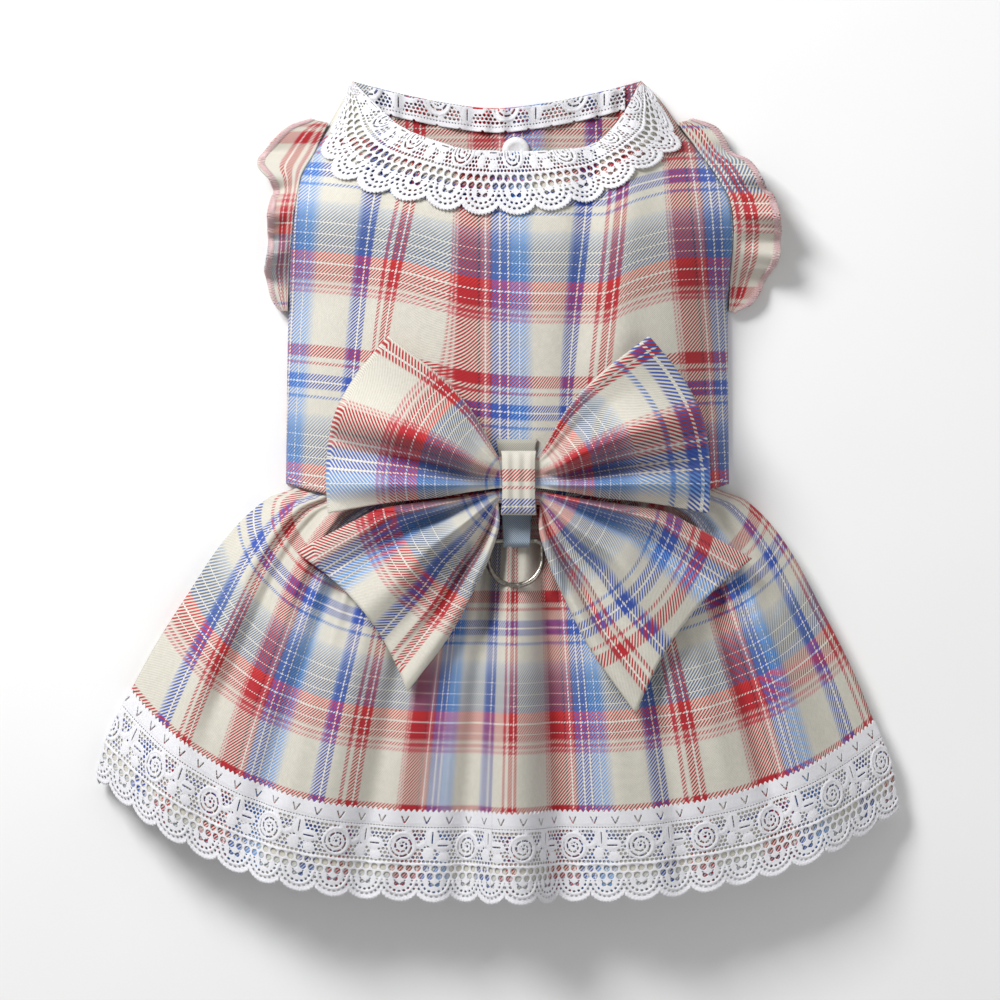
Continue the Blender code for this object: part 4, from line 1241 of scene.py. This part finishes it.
def build_hem_lace():
    dense = np.linspace(0.0, RING_END, 3000)
    along = run_length(skirt_surface(dense, np.full_like(dense, 0.94), SKIRT_FLOOR))
    scallops = round(along[-1] / SCALLOP)
    scallop = along[-1] / scallops
    turn_right = np.interp(0.5 * (RIGHT_FOLD + LOWER_START), dense, along)
    upper_scallops = round(turn_right / scallop)
    half = upper_scallops // 2
    parts = (
        ("hem_lace_left", 0, half, 0.00044),
        ("hem_lace_right", half, upper_scallops, 0.00044),
        ("hem_lace_under", upper_scallops, scallops, 0.00080),
    )
    for name, first, last, cell in parts:
        u, v = lace_grid(first * scallop, last * scallop, 0.0, LACE_WIDTH, cell)
        ring = np.interp(u, along, dense)
        share = np.where(ring < RIGHT_FOLD, ring - 1.0, np.where(ring < LOWER_START, 1.0, -1.0))
        on_lower = (ring >= LOWER_START) & (ring < LEFT_FOLD)
        share = np.where(on_lower, LOWER_INSET * (LOWER_START + 1.0 - ring), share)
        down = 1.0 + (v - (LACE_WIDTH - LACE_PROUD)) / skirt_length(share)
        base = skirt_surface(ring, down, SKIRT_FLOOR)
        normals = grid_normals(base)
        piece = lace_band(name, u, v, base, normals, 0.00018, scallop)
        place(piece, "white_lace", "hem_lace")


def collar_point(across, out):
    neck_x, neck_y = neck_point(across)
    outer_x = BODICE_CENTRE + BODICE_HALF * collar_x(across)
    outer_y = BODICE_LENGTH - COLLAR_DROP * collar_drop(across)
    return mix(neck_x, outer_x, out), mix(neck_y, outer_y, out)


def build_collar():
    dense = np.linspace(0.008, 0.992, 800)
    x, y = collar_point(dense, np.full_like(dense, 0.75))
    along = run_length(np.stack((x, y, bodice_z(x, y)), axis=-1))
    scallops = round(along[-1] / SCALLOP)
    scallop = along[-1] / scallops
    start = COLLAR_LACE_START
    u, v = lace_grid(0.0, along[-1], start, LACE_WIDTH, 0.00044)
    across = np.interp(u, along, dense)
    x, y = collar_point(across, (v - start) / (LACE_WIDTH - start))
    z = bodice_z(x, y) + bodice_relief(x, y)
    base = np.stack((x, y, z), axis=-1)
    normals = grid_normals(base)
    wave = 0.0005 * np.sin(u / 0.0042) * ease(0.016, 0.036, v)
    base = base + normals * (0.0004 + np.abs(wave))[..., None]
    piece = lace_band("neck_lace_band", u, v, base, normals, 0.0003, scallop)
    place(piece, "white_lace", "neck_lace")


def build_inner_lace():
    start_x = NECK_LEFT + 0.0060
    end_x = NECK_LEFT + NECK_WIDTH - 0.0060
    x, out = lace_grid(start_x, end_x, 0.0, INNER_LACE_WIDTH, 0.00042)
    y = belly_neck_y(x) - 0.0004 - out
    placket_right = PLACKET_LEFT_EDGE + PLACKET_WIDTH
    step = ease(PLACKET_LEFT_EDGE - PLACKET_STEP, PLACKET_LEFT_EDGE - 0.0008, x)
    step = step - ease(placket_right + 0.0008, placket_right + PLACKET_STEP, x)
    base = np.stack((x, y, WALL + (WALL + GAP) * step), axis=-1)
    normals = np.zeros_like(base)
    normals[..., 2] = 1.0
    wave = 0.0006 * (1.0 + np.sin(x / 0.0016 + 2.0 * np.sin(x / 0.007)))
    base = base + normals * wave[..., None]
    piece = lace_band("neck_lace_inner_band", x - start_x, INNER_LACE_EDGE - out, base, normals, 0.0003,
                      SCALLOP)
    place(piece, "white_lace", "neck_lace_inner")


# Frills, bow, tab, ring and snap

def build_frill(name, side, node):
    outline = curve(FRILL_OUTLINE, 1 if side < 0 else 2)
    half = 110
    shares = np.linspace(0.0, 1.0, half)
    ring_share = np.concatenate((shares, shares[-2:0:-1]))
    upper = np.concatenate((np.ones(half), np.zeros(half - 2)))
    share, reach = np.meshgrid(ring_share, np.linspace(0.0, 1.0, 26))
    is_upper = np.broadcast_to(upper, share.shape)
    y = ARMHOLE_TOP - ARMHOLE_LENGTH * share
    edge_x = bodice_side(y, side) + side * GAP
    x = edge_x + side * FRILL_REACH * outline(share) * reach
    ruffle = np.sin(2.0 * math.pi * 4.5 * share) + 0.45 * np.sin(2.0 * math.pi * 10.3 * share + 1.1)
    wave = 0.0034 * reach * ruffle
    belly = np.sin(math.pi * share)
    lift = np.maximum(bodice_edge_height(y), FRILL_END_HEIGHT) * mix(1.0, 0.85, reach * belly)
    top = lift + wave * belly
    bottom = 0.0007 + np.maximum((0.0008 + 0.3 * wave) * reach * belly, 0.0)
    z = np.where(is_upper > 0.5, top, bottom)
    y = y - (share - 0.5) * 0.0030 * reach + 0.0012 * reach * np.sin(2.0 * math.pi * 5.2 * share)
    outer = np.stack((x, y, z), axis=-1)
    if side > 0:
        outer = outer[:, ::-1]
    row_y = y[:, ::-1] if side > 0 else y
    row_reach = reach[:, ::-1] if side > 0 else reach
    weft = FRILL_WEFT_RIGHT - row_y if side > 0 else row_y - FRILL_WEFT_LEFT
    uv = np.stack((FRILL_WARP_START + FRILL_WARP_RUN * row_reach, weft), axis=-1)
    uv = np.concatenate((uv, uv[:, :1]), axis=1)
    piece = cloth(name, outer, uv, plaid, closed=True)
    place(piece, "plaid_cotton", node)
    # Serged edge: loops of thread over the outer rim
    rim, inner_row, rim_normals = (np.vstack((row, row[:1]))
                                   for row in (outer[-1], outer[-6], grid_normals(outer, True)[-2]))
    along = run_length(rim)
    count = int(along[-1] / SERGE_PITCH)
    step = along[-1] / count
    segments = []
    for index in range(count):
        start = index * step
        middle = start + 0.5 * step
        start_point = point_at(start, along, rim) + SERGE_LIFT * point_at(start, along, rim_normals)
        rim_point = point_at(middle, along, rim)
        inside = point_at(middle, along, inner_row) - rim_point
        share_in = min(SERGE_DEPTH / max(np.linalg.norm(inside), 1e-6), 1.5)
        tip = rim_point + inside * share_in + SERGE_LIFT * point_at(middle, along, rim_normals)
        end_point = point_at(start + step, along, rim) + np.array((0.0, 0.0, SERGE_LIFT))
        segments.append((start_point, tip))
        segments.append((tip, end_point))
    rim_name = name.replace("cloth", "serging")
    place(threads(rim_name, segments, SERGE_RADIUS, rose_thread, sides=5), "plaid_cotton")


def ring_far_y():
    return ring_low.y + 0.5 * RING_WIRE


def ring_bar_y():
    return ring_high.y - 0.5 * RING_WIRE


RING_X = 0.5 * (ring_low.x + ring_high.x)
RING_BAR_Z = float(level_z(RING_X, ring_bar_y())) + 2.0 * GAP + WALL + 0.5 * RING_WIRE
RING_FAR_Z = float(level_z(RING_X, ring_far_y(), 0.0110)) + GAP + 0.5 * RING_WIRE


def over_ring_z(x, y):
    share = np.clip((y - ring_bar_y()) / (ring_far_y() - ring_bar_y()), 0.0, 1.0)
    top = mix(RING_BAR_Z, RING_FAR_Z, share) + 0.5 * RING_WIRE + FOLD_CLEAR + WALL
    away_x = np.abs(x - RING_X) - 0.5 * (ring_high.x - ring_low.x)
    away_y = np.maximum(ring_far_y() - y, y - ring_bar_y())
    away = np.maximum(np.maximum(away_x, away_y), 0.0)
    return top - 0.040 * ease(0.0035, 0.0220, away)


def bow_sheet(name, node, shape, reach, rise, bulge, root_z, rest, puff, folds, cloth_uv):
    outs = np.linspace(1.0, 0.0, 70)
    sides = np.concatenate((-np.ones(70), np.ones(70)))
    out_line = np.concatenate((outs, outs[::-1]))
    out, across = np.meshgrid(out_line, np.linspace(0.0, 1.0, 100))
    side = np.broadcast_to(sides, out.shape)
    span = np.where(side < 0, reach[0], reach[1])
    height = np.where(side < 0, rise[0], rise[1])
    top_x = curve(shape, 1)(out) * span
    top_y = curve(shape, 2)(out) * height
    low_x = curve(shape, 3)(out) * span
    low_y = curve(shape, 4)(out) * height
    swell = bulge * np.sin(math.pi * across) * out ** 4
    edge = np.hypot(low_y - top_y, top_x - low_x)
    x = KNOT_X + side * (mix(top_x, low_x, across) - swell * (low_y - top_y) / edge)
    y = KNOT_Y + mix(top_y, low_y, across) - swell * (top_x - low_x) / edge
    ground = np.maximum(level_z(x, y) + rest, over_ring_z(x, y))
    settle = ease(0.0, 0.75, out)
    arch = np.sin(math.pi * np.minimum(out * 0.92, 1.0)) * (0.35 + 0.65 * np.sin(math.pi * across))
    relief = sum(fold_rise * bell(across, centre, width) for centre, fold_rise, width in folds)
    relief = relief * ease(0.0, 0.35, out) * mix(1.0, 0.55, ease(0.6, 1.0, out))
    z = mix(np.maximum(root_z, ground), ground, settle) + puff * (arch + 0.75 * relief)
    z = np.maximum(z + bow_gathers(side, out, across), ground)
    uv = cloth_uv(side, across, np.hypot(x - KNOT_X, y - KNOT_Y))
    piece = cloth(name, np.stack((x, y, z), axis=-1), uv, plaid)
    place(piece, "plaid_cotton", node)
    return piece


def wing_uv(side, across, distance):
    warp = 0.0522 + 0.0546 * across + SKIRT_WARP_SHIFT
    left = np.minimum(distance - 0.018, 0.053)
    right = 0.020 - 1.15 * (np.minimum(distance, 0.045) - 0.028) - 0.5 * np.maximum(distance - 0.045, 0.0)
    weft = np.where(side < 0, left, right)
    return np.stack((warp, weft), axis=-1)


def tail_uv(side, across, distance):
    warp = -0.0008 + 0.0657 * across + SKIRT_WARP_SHIFT
    left = np.minimum(distance - 0.0275, 0.053)
    weft = np.where(side < 0, left, 0.06875 - 0.87 * (distance - 0.060))
    return np.stack((warp, weft), axis=-1)


def bow_gathers(side, out, across):
    small = np.sin(across * 34.0 + 3.0 * side) * 0.35 * MM * (1.0 - ease(0.25, 0.8, out))
    return small * ease(0.0, 0.12, out)


def build_bow():
    tail_root = knot_low.z + KNOT_WALL + 3.0 * GAP + WALL
    piece = bow_sheet("bow_tails_cloth", "bow_tails", TAIL_SHAPE, (TAIL_REACH_LEFT, TAIL_REACH_RIGHT),
                      (-TAIL_DROP_LEFT, -TAIL_DROP_RIGHT), -TAIL_BULGE, tail_root, 0.0022,
                      TAIL_PUFF, TAIL_FOLDS, tail_uv)
    piece = bow_sheet("bow_upper_cloth", "bow_upper", WING_SHAPE, (WING_REACH, WING_REACH),
                      (WING_RISE, WING_RISE), WING_BULGE, tail_root + 2.0 * GAP + WALL, 0.0052,
                      WING_PUFF, WING_FOLDS, wing_uv)


def build_knot():
    angle, across = np.meshgrid(np.linspace(0.0, -2.0 * math.pi, 96, endpoint=False),
                                np.linspace(-0.5, 0.5, 34))
    cosine, sine = np.cos(angle), np.sin(angle)
    half_y = 0.5 * (knot_high.y - knot_low.y)
    half_z = 0.5 * (knot_high.z - knot_low.z)
    pleat = 0.00035 * np.cos(across * 2.0 * math.pi * 3.0) * np.maximum(sine, 0.0)
    y = KNOT_Y + (half_y + pleat) * np.sign(cosine) * np.abs(cosine) ** 0.7
    z = knot_low.z + half_z + (half_z + pleat) * np.sign(sine) * np.abs(sine) ** 0.7
    width = (knot_high.x - knot_low.x) * mix(1.0, 0.93, np.maximum(sine, 0.0))
    x = KNOT_X + width * across
    outer = np.stack((x, y, z), axis=-1)
    row_y = np.concatenate((y, y[:, :1]), axis=1)
    row_x = np.concatenate((x, x[:, :1]), axis=1)
    uv = np.stack((row_x + KNOT_WARP_SHIFT, KNOT_WEFT - row_y), axis=-1)
    piece = cloth("bow_knot_cloth", outer, uv, plaid, closed=True, wall=KNOT_CLOTH)
    place(piece, "plaid_cotton", "bow_knot")


def build_tab():
    middle = 0.5 * WALL
    turn = 0.5 * RING_WIRE + GAP + middle
    rest = GAP + middle
    bar_y = ring_bar_y()
    path = []
    for y in np.linspace(tab_high.y, TAB_LAP_Y, 14):
        path.append((y, float(level_z(RING_X, y)) + rest))
    path.append((bar_y + TAB_BEND, float(level_z(RING_X, bar_y + TAB_BEND)) + rest))
    for step in range(17):
        angle = math.radians(270.0 - 11.25 * step)
        path.append((bar_y + turn * math.cos(angle), RING_BAR_Z + turn * math.sin(angle)))
    for y in (bar_y + TAB_BEND, TAB_LAP_Y, TAB_END_Y):
        path.append((y, float(level_z(RING_X, y)) + rest + WALL + GAP))
    path = np.array(path)
    centre_x = 0.5 * (tab_low.x + tab_high.x)
    across = np.linspace(-0.5, 0.5, 24)
    flare = np.interp(path[:, 0], (bar_y, -0.012, 0.012, 0.02), (0.93, 1.0, 1.2, 1.45))
    width = (tab_high.x - tab_low.x) * flare
    x = centre_x + width[:, None] * across[None, :]
    y = np.broadcast_to(path[:, 0][:, None], x.shape)
    z = np.broadcast_to(path[:, 1][:, None], x.shape)
    points = np.stack((x, y, z), axis=-1)
    normals = grid_normals(points)
    uv = np.stack((x, np.broadcast_to(run_length(path)[:, None], x.shape)), axis=-1)
    outer = points + normals * middle
    piece = sheet_mesh("ring_tab_strap", outer, points - normals * middle, uv, strap)
    place(piece, "grey_strap", "ring_tab")


def build_ring():
    half = 0.5 * (ring_high.x - ring_low.x - RING_WIRE)
    far_y = ring_far_y()
    bar_y = ring_bar_y()
    straight = (bar_y - far_y) - half
    plan = [(t * 0.78 * half, 0.0) for t in np.linspace(-1.0, 1.0, 14)]
    plan += [(half - 0.22 * half * (1 - math.sin(a)), -0.22 * half * (1 - math.cos(a)))
             for a in np.linspace(0.15, 0.5 * math.pi, 7)]
    plan += [(half * math.cos(a), -straight - half * math.sin(a)) for a in np.linspace(0.0, math.pi, 60)]
    plan += [(-half + 0.22 * half * (1 - math.sin(a)), -0.22 * half * (1 - math.cos(a)))
             for a in np.linspace(0.5 * math.pi, 0.15, 7)]
    path = []
    for x, y in plan:
        share = y / (far_y - bar_y)
        path.append((RING_X + x, bar_y + y, mix(RING_BAR_Z, RING_FAR_Z, share)))
    piece = tube("d_ring_wire", path, 0.5 * RING_WIRE, nickel, sides=20, closed=True)
    place(piece, "nickel", "d_ring")


def build_snap():
    radius = 0.5 * (snap_high.x - snap_low.x)
    tall = snap_high.z - snap_low.z
    centre_x = 0.5 * (snap_low.x + snap_high.x)
    centre_y = 0.5 * (snap_low.y + snap_high.y)
    # Shares of the radius and of the height
    profile = [(0.96, 0.0), (1.0, 0.10), (1.0, 0.38), (0.985, 0.52), (0.95, 0.66), (0.88, 0.80),
               (0.78, 0.91), (0.66, 0.97), (0.55, 0.97), (0.48, 0.92), (0.42, 0.86), (0.0, 0.84)]
    sides = 72
    vertices = []
    for share, height in profile[:-1]:
        for k in range(sides):
            angle = 2.0 * math.pi * k / sides
            vertices.append((centre_x + radius * share * math.cos(angle),
                             centre_y + radius * share * math.sin(angle), snap_low.z + tall * height))
    faces = [tuple(reversed(range(sides)))]
    for ring in range(len(profile) - 2):
        for k in range(sides):
            m = (k + 1) % sides
            faces.append((ring * sides + k, ring * sides + m, (ring + 1) * sides + m, (ring + 1) * sides + k))
    vertices.append((centre_x, centre_y, snap_low.z + tall * profile[-1][1]))
    last = (len(profile) - 2) * sides
    for k in range(sides):
        faces.append((last + k, last + (k + 1) % sides, len(vertices) - 1))
    mesh = bpy.data.meshes.new("neck_snap_cap")
    mesh.from_pydata(vertices, [], faces)
    place(link("neck_snap_cap", mesh, snap), "snap_plastic", "neck_snap")


# Stage

def build_stage():
    mesh = bpy.data.meshes.new("floor")
    half = FLOOR_HALF
    mesh.from_pydata([(-half, -half, 0.0), (half, -half, 0.0), (half, half, 0.0), (-half, half, 0.0)],
                     [], [(0, 1, 2, 3)])
    s = Shader("studio_floor", 0.9)
    grain = s.noise(60.0, 2.0)
    s.tree.links.new(s.ramp(grain, ((0.2, colour("F4F4F4")), (0.8, colour("F8F8F8")))),
                     s.principled.inputs["Base Color"])
    floor = link("floor", mesh, s.material, smooth=False)
    floor.location.z = -FLOOR_DROP
    world = bpy.data.worlds.new("studio")
    bpy.context.scene.world = world
    world.use_nodes = True
    world.node_tree.nodes["Background"].inputs[0].default_value = (1.0, 1.0, 1.0, 1.0)
    world.node_tree.nodes["Background"].inputs[1].default_value = WORLD_LIGHT
    for name, where, energy, size in LAMPS:
        light = bpy.data.lights.new(name, "AREA")
        light.energy = energy
        light.size = size
        lamp = bpy.data.objects.new(name, light)
        lamp.location = where
        direction = np.array(where)
        yaw = math.atan2(direction[1], direction[0])
        tilt = math.acos(direction[2] / np.linalg.norm(direction))
        lamp.rotation_euler = (0.0, tilt, yaw)
        bpy.context.scene.collection.objects.link(lamp)


def build_camera():
    camera = bpy.data.cameras.new("camera")
    rig = bpy.data.objects.new("camera", camera)
    camera.sensor_width = SENSOR
    camera.lens = SENSOR * (CAMERA_HEIGHT - FOCUS_HEIGHT) / (PHOTO_PIXELS * PIXEL)
    middle = PHOTO_PIXELS / 2
    rig.location = ((middle - ORIGIN_PIXEL_X) * PIXEL, (ORIGIN_PIXEL_Y - middle) * PIXEL, CAMERA_HEIGHT)
    rig.rotation_euler = (0.0, 0.0, 0.0)
    camera.clip_end = 20.0
    bpy.context.scene.collection.objects.link(rig)
    bpy.context.scene.camera = rig
    bpy.context.scene.view_settings.view_transform = "Standard"


def main():
    build_camera()
    build_stage()
    build_bodice()
    build_bodice_stitches()
    belly_panel("belly_panel_left_cloth", -1, "belly_panel_left")
    belly_panel("belly_panel_right_cloth", 1, "belly_panel_right")
    build_snap()
    build_skirt()
    build_hem_lace()
    build_collar()
    build_inner_lace()
    build_frill("sleeve_frill_left_cloth", -1, "sleeve_frill_left")
    build_frill("sleeve_frill_right_cloth", 1, "sleeve_frill_right")
    build_bow()
    build_knot()
    build_tab()
    build_ring()


main()
